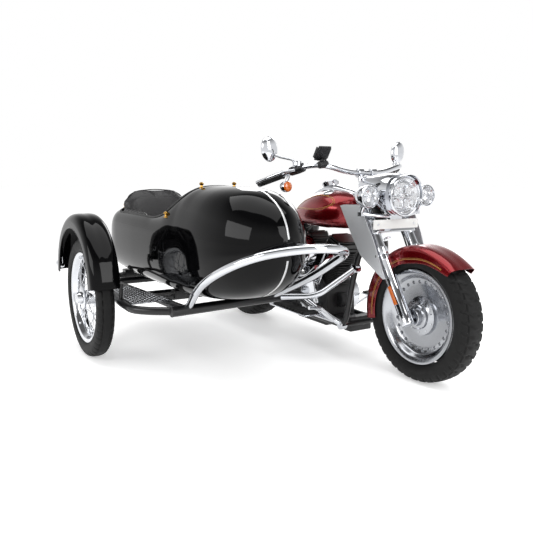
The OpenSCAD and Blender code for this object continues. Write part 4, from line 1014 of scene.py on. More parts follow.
wheel_s = 147 * tilt_sin + 321 * tilt_cos
leg_x = 45.4
top_s = 996.4 + 8 + 34 + 20
fork_parts = []
for side in (-1, 1):
    y = side * 114
    fork_parts.append(turned(steer(leg_x, y, wheel_s - 38), steer(leg_x, y, top_s), [
        (0, 18), (3, 27), (10, 31), (60, 31), (62, 30), (368, 30), (370, 31), (382, 34), (404, 34), (407, 28),
                                                            (440, 27), (680, 27)]))
    fork_parts.append(turned(steer(leg_x, y, wheel_s + 300), steer(leg_x, y, wheel_s + 330),
                             [(0, 31.5), (2, 33), (28, 33), (30, 31.5)]))
    fork_parts.append(turned(steer(leg_x - 32, y, wheel_s), steer(leg_x + 20, y, wheel_s),
                             [(0, 20), (3, 24), (50, 24), (52, 20)], sides=32))
merge_parts("fork_covers_and_sliders", fork_parts, [chrome], "steering", sharp=28)
caliper_s = wheel_s + 60


def steer_box(x0, x1, y0, y1, s0, s1, number=0):
    points = [at(*steer(x, y, s)) for s in (s0, s1) for y in (y0, y1) for x in (x0, x1)]
    return points, block(0, 1, 0, 1, 0, 1)[1], number


merge_parts("front_caliper", [
    steer_box(leg_x - 164, leg_x - 152, 48, 112, caliper_s - 46, caliper_s + 46),
    steer_box(leg_x - 152, leg_x - 74, 48, 60, caliper_s - 46, caliper_s + 46),
    steer_box(leg_x - 152, leg_x - 74, 78, 112, caliper_s - 46, caliper_s + 46),
    steer_box(leg_x - 76, leg_x - 6, 88, 110, caliper_s - 26, caliper_s + 26)],
    [chrome], "steering", ["fork_legs"], bevel=5, segments=3)
merge_parts("wheel_spindle", [turned((1638, -136, 321), (1638, 136, 321), [(0, 14), (1, 19), (10, 21), (12,
                                                            12), (260, 12), (262, 21),
            (271, 19), (272, 14)], sides=40)], [chrome], "steering", ["front_axle"])
clamp_parts = []
for s in (996.4 + 8, 831.3 - 8 - 34):
    ring = round_hull([(0, 0, 36), (leg_x, 114, 38), (leg_x, -114, 38)])
    points, faces = skin([[at(*steer(u, v, h)) for u, v in ring] for h in (s, s + 34)])
    clamp_parts.append((points, faces, 0))
clamp_parts.append(turned(steer(0, 0, 785), steer(0, 0, 1040), [(0, 19), (255, 19)]))
merge_parts("fork_clamps", clamp_parts, [chrome], "steering", ["triple_clamps"], bevel=4, segments=3)
# Moulded acrylic strip with prisms behind its face.
merge_parts("side_reflectors", [part for side in (-1, 1) for part in (
    steer_box(leg_x - 9, leg_x + 9, min(side * 144, side * 149), max(side * 144, side * 149), wheel_s + 74,
              wheel_s + 168),)],
    [amber_lens], "steering", bevel=1.5)

# ---------------------------------------------------------------- front fender
# A close-fitting pressed fender in the tank's red, held to the sliders by forged brackets.
# Two gold lines follow its sides.

front_parts = fender_shell(1638, 0, 321, 342, 80, 80, 38, 48, 192, 72, 3.6, 3.0, 4.0, slim=0.45)
for side in (-1, 1):
    y0, y1 = sorted((side * 79, side * 104))
    front_parts.append(steer_box(leg_x - 20, leg_x + 20, y0, y1, wheel_s + 216, wheel_s + 304, 1))
merge_parts("front_fender_shell", front_parts, [candy_red, chrome], "steering", ["front_fender"], sharp=50)
fender_lines = []
for side in (-1, 1):
    for lift in (14, 20):
        arc = []
        for i in range(61):
            t = 4 / 72 + 66 / 72 * i / 60
            a, deep = math.radians(48 + 144 * t), skirt_share(t, 0.45)
            r = 345 - (80 - lift) * deep + 3 * (1 - deep)
            arc.append(Vector((1638 + r * math.cos(a), side * 80.3, 321 + r * math.sin(a))))
        fender_lines.append(pipe(arc, 1.3 if lift == 14 else 0.8, 1, 0, 6, 1))
merge_parts("fender_pinstripes", fender_lines, [gold_line], "steering")

# ---------------------------------------------------------------- wind deflectors
# Satin aluminium sheets on stays beside the fork legs; each is cut to a long blade.

satin_sheet = finish_material("satin_aluminium_sheet", "#dcdee1", metallic=0.5, rough=0.42, rough_spread=0.04,
                              grain=0.01,
                              grain_size=1.2)

deflector_parts, stay_parts = [], []
blade = [(1221, 834), (1240, 842), (1340, 846), (1355, 836), (1442, 690), (1527, 496), (1520, 489), (1366, 597),
         (1300, 700)]


def blade_y(x, z):
    return 192 - 40 * (x - 1222) / 302 + 2 * math.sin(math.pi * min(max((x - 1222) / 302, 0), 1))


for side in (-1, 1):
    rows = []
    for u in range(25):
        x = 1221 + (1527 - 1221) * u / 24
        crossing = []
        for (ax, az), (bx, bz) in zip(blade, blade[1:] + blade[:1]):
            if min(ax, bx) <= x <= max(ax, bx) and ax != bx:
                crossing.append(az + (bz - az) * (x - ax) / (bx - ax))
        low_z, high_z = (min(crossing), max(crossing)) if crossing else (480, 481)
        high_z = max(high_z, low_z + 0.5)
        loop = [(x, side * (blade_y(x, z) + t), z) for t, order in ((0, 1), (3, -1))
                for z in [low_z + (high_z - low_z) * k / 6 for k in range(7)][::order]]
        rows.append([at(*p) for p in loop])
    points, faces = skin(rows)
    deflector_parts.append((points, faces, 1))
    for z in (600, 790):
        stay_parts.append(turned((fork_x(z), side * 120, z),
                                 (fork_x(z), side * (158 + 28 * (z - 600) / 190 + 2), z), [(0, 9), (44, 7)]))
merge_parts("deflector_blades", deflector_parts + stay_parts, [chrome, satin_sheet], "steering",
            ["wind_deflectors"], sharp=40)

# ---------------------------------------------------------------- headlamp, passing lamps and plate
# A deep chromed nacelle wraps the steering head; its visor shades a seven-inch lamp of four small projectors.
# Two passing lamps and a blank plate hang on a bent bar below.

# Optical glass, shown as a thin clear pane so that the reflectors are seen behind it.
lamp_glass = bpy.data.materials.new("clear_lamp_glass")
lamp_glass.use_nodes = True
tree = lamp_glass.node_tree
tree.nodes.clear()
ripple = add_node(tree, "ShaderNodeTexNoise", {"Scale": 30.0},
                  {"Vector": add_node(tree, "ShaderNodeTexCoord").outputs["Object"]})
haze = add_node(tree, "ShaderNodeMapRange", {"To Min": 0.0, "To Max": 0.04}, {"Value": ripple.outputs[0]})
pane = add_node(tree, "ShaderNodeBsdfPrincipled", {"Base Color": (1, 1, 1, 1), "IOR": 1.45,
                "Alpha": 0.12}, {"Roughness": haze.outputs[0]})
add_node(tree, "ShaderNodeOutputMaterial", links={"Surface": pane.outputs[0]})
# Black moulded housing behind the reflectors.
dark_plastic = finish_material("black_moulded_abs", "#101012", rough=0.4, grain=0.06, grain_size=1.4)

nacelle_rows = blend_rows([
    (1202, 56, 915, 945, 975), (1226, 82, 892, 936, 986), (1290, 100, 866, 920, 992),
    (1360, 112, 826, 905, 999), (1420, 117, 792, 893, 1003), (1462, 112, 786, 891, 1000)], 6)
points, faces = skin([hull_ring(r[0], 0, r[1], r[2], r[3], r[4], 2.5, 2.5, 64) for r in nacelle_rows])
nacelle = merge_parts("headlamp_nacelle_shell", [(points, faces, 0)], [chrome], "steering", sharp=60)
cut_away(nacelle, [turned(steer(0, 0, 820), steer(0, 0, 1000.4), [(0, 42), (180.4, 42)])])
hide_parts("headlamp_nacelle")


def lamp_parts_for(x, y, z, r, depth):
    """Bezel, bowl and glass of a round lamp that faces forward; x is the bezel's front edge."""
    start, end = (x, y, z), (x + 1, y, z)
    bezel = turned(start, end, [(-depth, r * 0.5), (-depth, r * 0.86), (-depth * 0.6, r * 0.98), (-14, r), (-4,
                                                            r), (0, r * 0.97),
                                (1, r * 0.93), (-3, r * 0.89), (-8, r * 0.88), (-8, r * 0.84),
                                (-depth * 0.7, r * 0.5)], 0, 72, True)
    bowl = turned(start, end, [(-10, r * 0.88), (-18, r * 0.8), (-30, r * 0.6), (-38, r * 0.32), (-40, 0),
                               (-42, 0), (-40, r * 0.4),
                               (-32, r * 0.66), (-20, r * 0.86), (-12, r * 0.9)], 1, 64, True)
    glass = turned(start, end, [(-4, r * 0.89), (2, r * 0.8), (7, r * 0.58), (10, r * 0.3), (11, 0), (9.4, 0),
                                (8.4, r * 0.3),
                                (5.4, r * 0.58), (0.4, r * 0.8), (-5.6, r * 0.89)], 2, 64, True)
    return [bezel, bowl, glass]


lamp = lamp_parts_for(1488, 0, 891, 101, 56)
for dy, dz in ((-40, 24), (40, 24), (-34, -38), (34, -38)):
    lamp.append(turned((1450, dy, 891 + dz), (1478, dy, 891 + dz),
                       [(0, 16), (14, 27), (22, 30), (26, 30), (26, 27), (16, 22),
                                                                   (10, 14), (8, 0)], 0, 40))
    lamp.append(turned((1460, dy, 891 + dz), (1478, dy, 891 + dz),
                       [(0, 12), (8, 14), (13, 12), (16, 7), (17, 0)], 2, 32))
lamp.append(turned((1450, 0, 891), (1474, 0, 891), [(0, 12), (20, 12), (24, 8), (24, 0)], 0, 24))
merge_parts("headlamp_unit", lamp, [chrome, dark_plastic, lamp_glass], "steering", ["headlamp"], sharp=35)
visor_rings = []
for i in range(41):
    a = math.radians(-8 + 196 * i / 40)
    ring = []
    for dx, dr in ((-30, 101), (10, 106), (26 * (0.35 + 0.65 * math.sin(max(a,
                                                            0)) if 0 < a < math.pi else 0.35), 105),
                   (26 * (0.35 + 0.65 * math.sin(max(a, 0)) if 0 < a < math.pi else 0.35), 103), (8, 103.5),
                   (-30, 98.5)):
        ring.append(at(1484 + dx, dr * math.cos(a), 891 + dr * math.sin(a)))
    visor_rings.append(ring)
points, faces = skin(visor_rings)
merge_parts("headlamp_visor", [(points, faces, 0)], [chrome], "steering", sharp=40)

passing = [pipe([(1372, -196, 806), (1400, -110, 790), (1418, 0, 784), (1400, 110, 790), (1372, 196, 806)], 12,
                60)]
for side in (-1, 1):
    passing += lamp_parts_for(1446, side * 190, 889, 56, 52)
    passing.append(turned((1350, side * 190, 889), (1446, side * 190, 889),
                          [(0, 0), (1, 12), (6, 26), (20, 40), (44, 50), (60, 54),
                                                                            (60, 30)]))
    passing.append(turned((1436, side * 190, 889), (1440, side * 190, 889),
                          [(-30, 6), (-20, 9), (-4, 9), (0, 5), (1, 0)], 0, 20))
    passing.append(pipe([(1376, side * 190, 800), (1390, side * 190, 826), (1398, side * 190, 848)], 10, 10))
    passing.append(turned((fork_x(800), side * 114, 800), (1400, side * 102, 792), [(0, 11), (50, 11)]))
    passing.append(turned((1376, side * 190, 792), (1376, side * 190, 812), [(0, 17), (20, 17)], sides=6))
merge_parts("passing_lamps_and_bar", passing, [chrome, chrome, lamp_glass], "steering", ["passing_lamps"],
            sharp=35)
merge_parts("front_plate_blank", [block(1426, 1429, -150, 150, 726, 774), block(1410, 1427, -40, 40, 760, 794,
                                                            1)],
            [plate_enamel, chrome], "steering", ["front_number_plate"], bevel=1.0)
screws("front_plate_screws", [at(1429.5, y, 750) for y in (-120, 120)], [Vector((1, 0, 0))] * 2, 5, 4, chrome,
       "steering", 12)

# ---------------------------------------------------------------- handlebar and controls
# A wide bar of chromed tube in two risers, with ribbed rubber grips.
# Levers, switch boxes, mirrors, amber signals and a phone cradle are clamped along it.

grip_rubber = finish_material("ribbed_grip_rubber", "#161617", rough=0.62, grain=0.12, grain_size=1.8)
# Back-silvered mirror glass.
mirror_glass = finish_material("silvered_mirror_glass", "#eceff1", metallic=1.0, rough=0.03, rough_spread=0.01)

bar_parts, grip_parts, control_parts, mirror_parts, signal_parts = [], [], [], [], []
bar_line = [(1186, 0, 1000), (1186, 120, 1004), (1166, 262, 1042), (1090, 318, 1036), (1010, 344, 1010),
            (826, 444, 940)]
bar_parts += [pipe(bar_line, 14), pipe([(1224, 44, 880), (1188, 44, 1004)], 15),
              turned((1187, 26, 1001), (1187, 62, 1001), [(0, 20), (2, 23), (34, 23), (36, 20)])]
grip_start, grip_end = Vector((955, 374, 989)), Vector((822, 446, 938.5))
ribs = [(0, 15), (1, 22), (6, 22), (7, 18.5)]
for i in range(16):
    ribs += [(10 + i * 8.4, 18.6), (11 + i * 8.4, 19.6), (15.4 + i * 8.4, 19.6), (16.4 + i * 8.4, 18.6)]
grip_parts.append(turned(grip_start, grip_end, ribs + [(148, 19), (150, 20)]))
bar_parts.append(turned(grip_end - (grip_end - grip_start).normalized() * 12, grip_end,
                        [(0, 20), (2, 20.5), (10, 20), (14, 15), (15, 0)]))
control_parts += [
    turned((1072, 322, 1030), (990, 352, 1004), [(0, 18), (3, 23), (40, 25), (84, 23), (87, 18)], 0, 24),
    turned((1046, 345, 1034), (1046, 345, 1062), [(0, 20), (4, 23), (22, 23), (26, 21), (27, 0)], 1, 24),
    pipe([(1040, 356, 1014), (1000, 410, 1002), (920, 462, 968), (858, 478, 946)],
         lambda t: 8.5 - 2 * t + (2.5 if t > 0.97 else 0),
         50, 1),
    turned((1012, 332, 996), (1004, 330, 1000), [(0, 7), (9, 6), (10, 0)], 1, 16),
]
rows = []
for x, grow in ((-10, 0.93), (-6, 1.0), (0, 1.0), (8, 0.92), (15, 0.72), (20, 0.46), (23, 0.15)):
    rows.append([at(940 + x, 451 + 48 * grow * math.cos(t) + 5 * math.sin(t),
                 1121 + 65 * grow * math.copysign(abs(math.sin(t)) ** 0.9, math.sin(t)))
                 for t in (2 * math.pi * k / 48 for k in range(48))])
points, faces = skin(rows)
mirror_parts.append((points, faces, 0))
glass_ring = [[at(x, 451 + 43 * math.cos(t) + 5 * math.sin(t),
                  1121 + 60 * math.copysign(abs(math.sin(t)) ** 0.9, math.sin(t)))
               for t in (2 * math.pi * k / 48 for k in range(48))] for x in (929, 931)]
points, faces = skin(glass_ring)
mirror_parts.append((points, faces, 1))
mirror_parts.append(pipe([(1030, 352, 1036), (1024, 356, 1066), (968, 408, 1082), (952, 424, 1092)], 6.5, 30))
mirror_parts.append(turned((1030, 352, 1030), (1030, 352, 1052), [(0, 12), (20, 12), (22, 9)], 0, 6))
way = Vector((62, -14, 2))
start = Vector((952, 384, 926))
signal_parts += [
    turned(start + way * 0.74, start, [(0, 27), (6, 29), (18, 29), (32, 25), (42, 16), (48, 0)]),
    turned(start + way * 0.7, start + way, [(0, 27), (6, 28), (13, 24), (18, 14), (20, 0)], 1),
    pipe([(985, 376, 940), (992, 354, 1002)], 8),
]
merge_parts("handlebar_tube", bar_parts + [mirrored(p) for p in bar_parts], [chrome], "steering", ["handlebar"])
merge_parts("grips", grip_parts + [mirrored(p) for p in grip_parts], [grip_rubber], "steering", sharp=25)
merge_parts("levers_and_switches", control_parts + [mirrored(p) for p in control_parts],
            [dark_plastic, chrome], "steering",
            ["hand_controls"])
merge_parts("round_mirrors", mirror_parts + [mirrored(p) for p in mirror_parts], [chrome, mirror_glass],
            "steering", ["mirrors"],
            sharp=50)
merge_parts("bullet_signals", signal_parts + [mirrored(p) for p in signal_parts], [chrome, amber_lens],
            "steering",
            ["front_turn_signals"])
cradle_parts = []
face_way = Vector((-0.848, 0, 0.53))
long_way = Vector((0.53, 0, 0.848))


def cradle_box(u0, u1, y0, y1, t0, t1, number=0):
    foot = Vector((1145, -268, 1068))
    points = [at(*(foot + long_way * u + Vector((0, y, 0)) + face_way * t)) for u in (u0, u1) for y in (y0,
                                                            y1) for t in (t0, t1)]
    return points, block(0, 1, 0, 1, 0, 1)[1], number


cradle_parts += [cradle_box(-6, 74, -38, 38, 0, 9), cradle_box(4, 64, -44, -36, 2, 18),
                 cradle_box(4, 64, 36, 44, 2, 18),
                 cradle_box(-10, -2, -20, 20, 2, 16), pipe([(1164, -264, 1040), (1148, -267, 1066)], 11, 10),
                 turned((1160, -290, 1040), (1160, -240, 1046), [(0, 19), (50, 19)], 0, 24)]
merge_parts("phone_cradle", cradle_parts, [dark_plastic], "steering", ["phone_holder"], bevel=3, segments=3)
# Rubber brake hose, clipped to the fork from the lever down to the caliper.
merge_parts("brake_hose", [pipe([(1050, 345, 1030), (1150, 250, 1000), (1230, 150, 930), (1320, 92, 800),
                                 (1420, 84, 640),
            (1480, 92, 500), (1490, 100, 420)], 4.5, 90, 0, 10)], [dark_plastic], "steering")

# ---------------------------------------------------------------- sidecar chassis and mounts
# Thick-walled tube in black enamel, with four struts clamped to the motorcycle's frame.
# The wheel is carried on a leading arm with its own spring unit.

rest_z = 345
chassis_parts = [
    pipe([(1062, -1065, rest_z), (1000, -290, rest_z), (1000, -150, 220)], 25, 50),
    turned((1062.6, -1071, rest_z), (1062, -1063, rest_z), [(0, 0), (1, 18), (4, 25.5), (9, 25.5)]),
    pipe([(1055, -985, rest_z), (234, -1055, rest_z), (150, -1055, rest_z)], 20, 60),
    pipe([(1055, -1036, rest_z), (990, -1142, rest_z), (920, -1206, rest_z), (727, -1202, rest_z),
          (458, -1164, rest_z),
          (150, -1122, rest_z)], 20, 60),
    pipe([(1015, -430, rest_z), (-70, -430, rest_z)], 20),
    pipe([(150, -430, rest_z), (150, -1122, rest_z)], 20),
    pipe([(-60, -430, rest_z), (-60, -960, rest_z), (150, -1050, rest_z)], 20, 70),
    pipe([(600, -430, rest_z), (600, -1187, rest_z)], 16),
]
for x in (-30, 760):
    for y in (-900, -560):
        chassis_parts.append(block(x - 30, x + 30, y - 30, y + 30, 345, 386))
    half = 270 if x < 0 else 300
    chassis_parts.append(block(x - 20, x + 20, -730 - half, -730 + half, 337, 361))
merge_parts("sidecar_frame", chassis_parts, [frame_enamel], "chassis", ["sidecar_chassis"], bevel=1.5)
strut_parts = [
    pipe([(480, -430, rest_z), (480, -360, 215), (480, -130, 196)], 16, 60),
    pipe([(1015, -430, rest_z), (1180, -300, 365), (1247, -102, 505)], 16, 60),
    pipe([(200, -430, rest_z), (215, -330, 500), (240, -136, 602)], 15, 90),
    pipe([(1000, -290, rest_z), (1120, -220, 260), (1180, -130, 190)], 15, 50),
]
for x, y, z in ((480, -130, 190), (1180, -130, 190), (1247, -102, 505), (240, -136, 602)):
    strut_parts.append(turned((x, y - 20, z), (x, y + 20, z), [(0, 14), (3, 24), (37, 24), (40, 14)]))
merge_parts("mounting_struts", strut_parts, [chrome], "chassis", ["sidecar_struts"])
arm_line = -1164
spring = [turned((327, -1160, 345), (387, -1156, 560), [(0, 14), (4, 18), (18, 18), (20, 14), (223, 14)]),
          pipe([(387, -1156, 556), (401, -1156, 612)], 10)]
coil = []
axis_a, axis_b = Vector((336, -1160, 372)), Vector((385, -1156, 548))
along = (axis_b - axis_a).normalized()
side_way = along.cross(Vector((0, 1, 0))).normalized()
cross_way = along.cross(side_way)
for i in range(12 * 11 + 1):
    t = i / (12 * 11)
    a = 2 * math.pi * 11 * t
    coil.append(axis_a.lerp(axis_b, t) + side_way * 19 * math.cos(a) + cross_way * 19 * math.sin(a))
spring.append(pipe(coil, 3.2, 1, 1, 8, 1))
merge_parts("leading_arm", [pipe([(150, -1134, 345), (210, arm_line, 345), (417, arm_line, 324)], 18, 40),
            turned((417, -1144, 324), (417, -1224, 324), [(0, 20), (4, 26), (76, 26), (80, 20)])] + spring,
            [frame_enamel, chrome], "chassis", ["sidecar_suspension_arm"])
merge_parts("sidecar_spindle", [turned((417, -1136, 324), (417, -1344, 324), [(0, 12), (208, 12)]),
            turned((417, -1344, 324), (417, -1347, 324), [(0, 9), (3, 0)])], [chrome], "chassis",
            ["sidecar_axle"])

# ---------------------------------------------------------------- sidecar body
# A boat-shaped tub of beaten steel sheet, welded and sprayed in gloss black over filler.
# It is open over the seat, closed by a cowl in front, with a lidded boot behind.

# Black two-pack lacquer: deep gloss, an orange peel that only shows along the reflections.
black_lacquer = finish_material("gloss_black_lacquer", "#040405", rough=0.05, rough_spread=0.02, colour_two="#060607",
                                grain=0.01, grain_size=8, patch_size=200, specular=0.15)
silver_line = finish_material("silver_enamel_line", "#d9dadb", metallic=0.25, rough=0.3, coat=0.6)
brass = finish_material("polished_brass", "#c79a4a", metallic=1.0, rough=0.16, rough_spread=0.06, patch_size=12)
# Extruded rubber moulding pressed over the cut edge.
edge_rubber = finish_material("edge_trim_rubber", "#121213", rough=0.5, grain=0.05, grain_size=2)

tub_half, floor_line, rim_line, cowl_line, nose = 262, 378, 782, 930, 1553
tub_rows = [
    (-236, 0.56, 150, 600, rim_line - 116, 3, 3), (-218, 0.74, 74, 580, rim_line - 80, 3.4, 3.4),
    (-168, 0.87, 22, 575, rim_line - 34, 4, 4), (-80, 0.95, 8, 590, rim_line - 6, 4, 4.6),
            (20, 0.98, 4, 600, rim_line, 4, 5),
    (300, 1, 0, 600, rim_line, 4, 5), (560, 1, 0, 600, rim_line, 4, 4.8), (700, 1, 0, 600, rim_line + 38, 4, 4),
    (800, 0.995, 0, 600, rim_line + 108, 4, 3.2), (886, 0.99, 2, 600, cowl_line, 3.8, 2.7)]
tub_rows += [(nose - b, w, low, mid, top, e, f) for b, w, low, mid, top, e, f in (
    (545, 0.985, 6, 605, cowl_line + 3, 3.6, 2.7), (425, 0.97, 14, 612, cowl_line + 4, 3.2, 2.7),
    (315, 0.925, 32, 624, cowl_line, 2.9, 2.6), (215, 0.835, 58, 640, cowl_line - 14, 2.6, 2.5),
    (135, 0.7, 94, 658, cowl_line - 44, 2.4, 2.3), (65, 0.51, 144, 676, cowl_line - 90, 2.3, 2.2),
    (20, 0.29, 208, 690, cowl_line - 150, 2.2, 2.2), (0, 0.1, 272, 695, cowl_line - 204, 2.1, 2.1))]
fine_rows = blend_rows(tub_rows, 6)


def tub_rings(gap, rows, n=96):
    return [hull_ring(r[0], -730, r[1] * tub_half - gap, floor_line + r[2] + gap, r[3], r[4] - gap, r[5], r[6],
                      n) for r in rows]


def plan_cutter(x0, x1, half, back, front, z0, z1):
    """An upright block with a rounded plan; back and front are its corner radii."""
    outline = []
    for r, cx, cy, start in ((front, x1 - front, half - front, 0), (back, x0 + back, half - back, 90),
                             (back, x0 + back, back - half, 180), (front, x1 - front, front - half, 270)):
        outline += [(cx + r * math.cos(math.radians(start + 9 * k)),
                     cy + r * math.sin(math.radians(start + 9 * k)))
                    for k in range(11)]
    points, faces = skin([[at(x, -730 + y, z) for x, y in outline] for z in (z0, z1)])
    return (points, faces, 0), outline


points, faces = skin(tub_rings(0, fine_rows))
tub = merge_parts("sidecar_tub", [(points, faces, 0)], [black_lacquer, dark_plastic], "chassis", sharp=45)
inner_rows = [(r[0] + (4 if i == 0 else 0),) + tuple(r[1:]) for i,
              r in enumerate(fine_rows) if r[0] < nose - 30]
points, faces = skin(tub_rings(4, inner_rows))
cockpit_cut, cockpit_outline = plan_cutter(-22, 884, 228, 60, 130, 722, 1022)
boot_cut = plan_cutter(-176, -66, 150, 20, 20, 662, 962)[0]
cut_away(tub, [(points, faces, 0)])
cut_away(tub, [cockpit_cut])
cut_away(tub, [boot_cut])
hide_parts("sidecar_body")


def tub_top(x, y):
    """Height of the tub's upper skin above a point of its plan."""
    for a, b in zip(fine_rows, fine_rows[1:]):
        if a[0] <= x <= b[0]:
            t = (x - a[0]) / (b[0] - a[0])
            r = [p + (q - p) * t for p, q in zip(a, b)]
            share = min(abs(y) / (r[1] * tub_half), 1)
            return r[3] + (r[4] - r[3]) * max(1 - share ** r[6], 0) ** (1 / r[6])
    return rim_line


def edge_moulding(outline, radius, offset=0.0):
    """A round moulding that follows the cut edge of the skin."""
    rim = [Vector((x, -730 + y, tub_top(x, y) + offset)) for x, y in outline]
    close = [p for i, p in enumerate(rim) if (p - rim[i - 1]).length > 0.5]
    dense = []
    for i, p in enumerate(close):
        q = close[(i + 1) % len(close)]
        for k in range(max(int((q - p).length / 12), 1)):
            m = p.lerp(q, k / max(int((q - p).length / 12), 1))
            dense.append(Vector((m.x, m.y, tub_top(m.x, m.y + 730) + offset)))
    rings = []
    for i, p in enumerate(dense):
        ahead = (dense[(i + 1) % len(dense)] - dense[i - 1]).normalized()
        side = ahead.cross(Vector((0, 0, 1))).normalized()
        over = side.cross(ahead)
        rings.append([at(*(p + side * radius * math.cos(math.pi * k / 5) + over * radius * math.sin(math.pi * k / 5)))
                      for k in range(10)])
    made, sides = skin(rings, caps=False, loop=True)
    return made, sides, 0


merge_parts("cockpit_edge_moulding", [edge_moulding(cockpit_outline, 6)], [edge_rubber], "chassis")
points, faces = skin([hull_ring(x, -730, 253, 384, 600, 776, 4, 5, 64) for x in (-34, -28)])
merge_parts("boot_bulkhead", [(points, faces, 0)], [dark_plastic], "chassis")

# A silver line runs down the middle of the nose; brass knobs hold the tonneau, and two pins carry the boot lid.
line_half = 5
stripe_rings = []
front_rows = [r for r in fine_rows if r[0] > 1318]
for r in front_rows:
    stripe_rings.append([at(r[0], -730 + y, tub_top(r[0], y) + 0.8) for y in (-line_half, 0, line_half)])
for r in reversed(front_rows[1:-2]):
    low_z = floor_line + r[2]
    stripe_rings.append([at(r[0], -730 + y,
                            r[3] - (r[3] - low_z) * max(1 - (abs(y) / (r[1] * tub_half)) ** r[5],
                                                        0) ** (1 / r[5]) - 0.8)
                         for y in (-line_half, 0, line_half)])
n = len(stripe_rings)
points = [p for ring in stripe_rings for p in ring]
faces = [(3 * j + i, 3 * j + i + 1, 3 * j + i + 4, 3 * j + i + 3) for j in range(n - 1) for i in range(2)]
stripe = merge_parts("nose_line", [(points, faces, 0)], [silver_line], "chassis")
wall = stripe.modifiers.new("wall", "SOLIDIFY")
wall.thickness, wall.offset = 0.0006, 0
knob_parts = []
for x, y, tall in ((790, -243, 30), (790, 243, 30), (897, -93, 32), (897, 93, 32)):
    z = tub_top(x, y)
    knob_parts.append(turned((x, -730 + y, z - 3), (x, -730 + y, z + tall),
                             [(0, 13), (4, 13), (6, 7), (14, 6), (17, 10), (22, 12),
                                                                           (27, 10), (30, 5), (31, 0)], 0, 24))
for y in (-175, 175):
    knob_parts.append(turned((-40, -730 + y, 772), (-40, -730 + y, 800),
                             [(0, 12), (6, 12), (8, 6), (14, 6), (17, 10), (22, 11),
                                                                         (26, 7), (28, 0)], 0, 24))
merge_parts("brass_knobs", knob_parts, [brass], "chassis")
hinge_parts = []
for side in (-1, 1):
    y = -730 + side * 90
    hinge_parts.append(turned((-54, y - 28, 798), (-54, y + 28, 798), [(0, 3.5), (56, 3.5)], 0, 24))
    for e in (-28, 22):
        hinge_parts.append(block(-59, -49, y + e, y + e + 6, 774, 804))
merge_parts("boot_hinge_pins", hinge_parts, [chrome], "chassis", bevel=1)

# The boot lid is the piece cut from the deck, on two strap hinges with a turned handle.
points, faces = skin(tub_rings(0, fine_rows))
lid = merge_parts("boot_lid_panel", [(points, faces, 0)], [black_lacquer], "boot_lid", sharp=45)
points, faces = skin(tub_rings(4, inner_rows))
cut_away(lid, [(points, faces, 0)])
keep_block = plan_cutter(-171, -71, 145, 16, 16, 662, 962)[0]
cutter = merge_parts("lid_outline", [keep_block], [], "chassis")
knife = lid.modifiers.new("keep", "BOOLEAN")
knife.operation, knife.solver, knife.object = "INTERSECT", "EXACT", cutter
view = bpy.context.evaluated_depsgraph_get()
view.update()
mesh = bpy.data.meshes.new_from_object(lid.evaluated_get(view), depsgraph=view)
lid.modifiers.clear()
lid.data = mesh
bpy.data.objects.remove(cutter)
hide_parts("boot_lid")
strap_parts = []
for side in (-1, 1):
    y = -730 + side * 90
    strap_parts.append(turned((-54, y - 18, 798), (-54, y + 18, 798), [(0, 4.2), (0, 7), (36, 7), (36, 4.2)],
                              0, 32, True))
    ring = [[at(x, y + w, z) for x, z in ((-58, 800), (-56, 805), (-76, 784), (-108, 777), (-108, 772), (-76,
                                                            777))]
            for w in (-17, 17)]
    points, faces = skin(ring)
    strap_parts.append((points, faces, 0))
strap_parts.append(pipe([(-150, -775, 758), (-152, -775, 778), (-152, -685, 778), (-150, -685, 758)], 5, 14, 0,
                        12))
merge_parts("boot_lid_straps", strap_parts, [chrome], "boot_lid", sharp=40)

# ---------------------------------------------------------------- passenger's seat
# Foam pads in black cowhide: a plain base, a tall back rest and two arm rolls.
# The back rest has piping round its edge, and diamond stitching that a full swell of the pad hides.

cushion_rows = blend_rows([(108, 16, 478), (122, 4, 492), (200, 2, 498), (420, 2, 506), (526, 4, 506),
                           (550, 12, 490),
                           (558, 24, 474)], 4)
points, faces = skin([hull_ring(r[0], -730, 214 - r[1], 384, 440, r[2], 6, 4, 56) for r in cushion_rows])
padded_piece("passenger_cushion", [(points, faces, 0)], "chassis", ["sidecar_cushion"], voxel=0.006)


def rounded_box_rings(centre, half_y, half_x, low_z, high_z, lean, crown=0.0, n=48):
    """Sections of an upright pad, from its foot to its top, that lean back as they rise."""
    rings = []
    for k in range(25):
        t = k / 24
        squeeze = min(1, (t * 10 + 0.35) ** 0.5, ((1 - t) * 7 + 0.16) ** 0.5)
        z = low_z + (high_z - low_z) * t
        wide = half_y * (0.9 + 0.1 * squeeze) * (1 - 0.3 * max(0, t - 0.82) / 0.18 * (t > 0.82))
        rings.append([at(centre - lean * t + half_x * squeeze * power(math.cos(2 * math.pi * i / n), 2.6),
                         -730 + wide * power(math.sin(2 * math.pi * i / n), 3.4),
                         z + crown * t * (1 - (abs(math.sin(2 * math.pi * i / n)) ** 2))) for i in range(n)])
    return rings


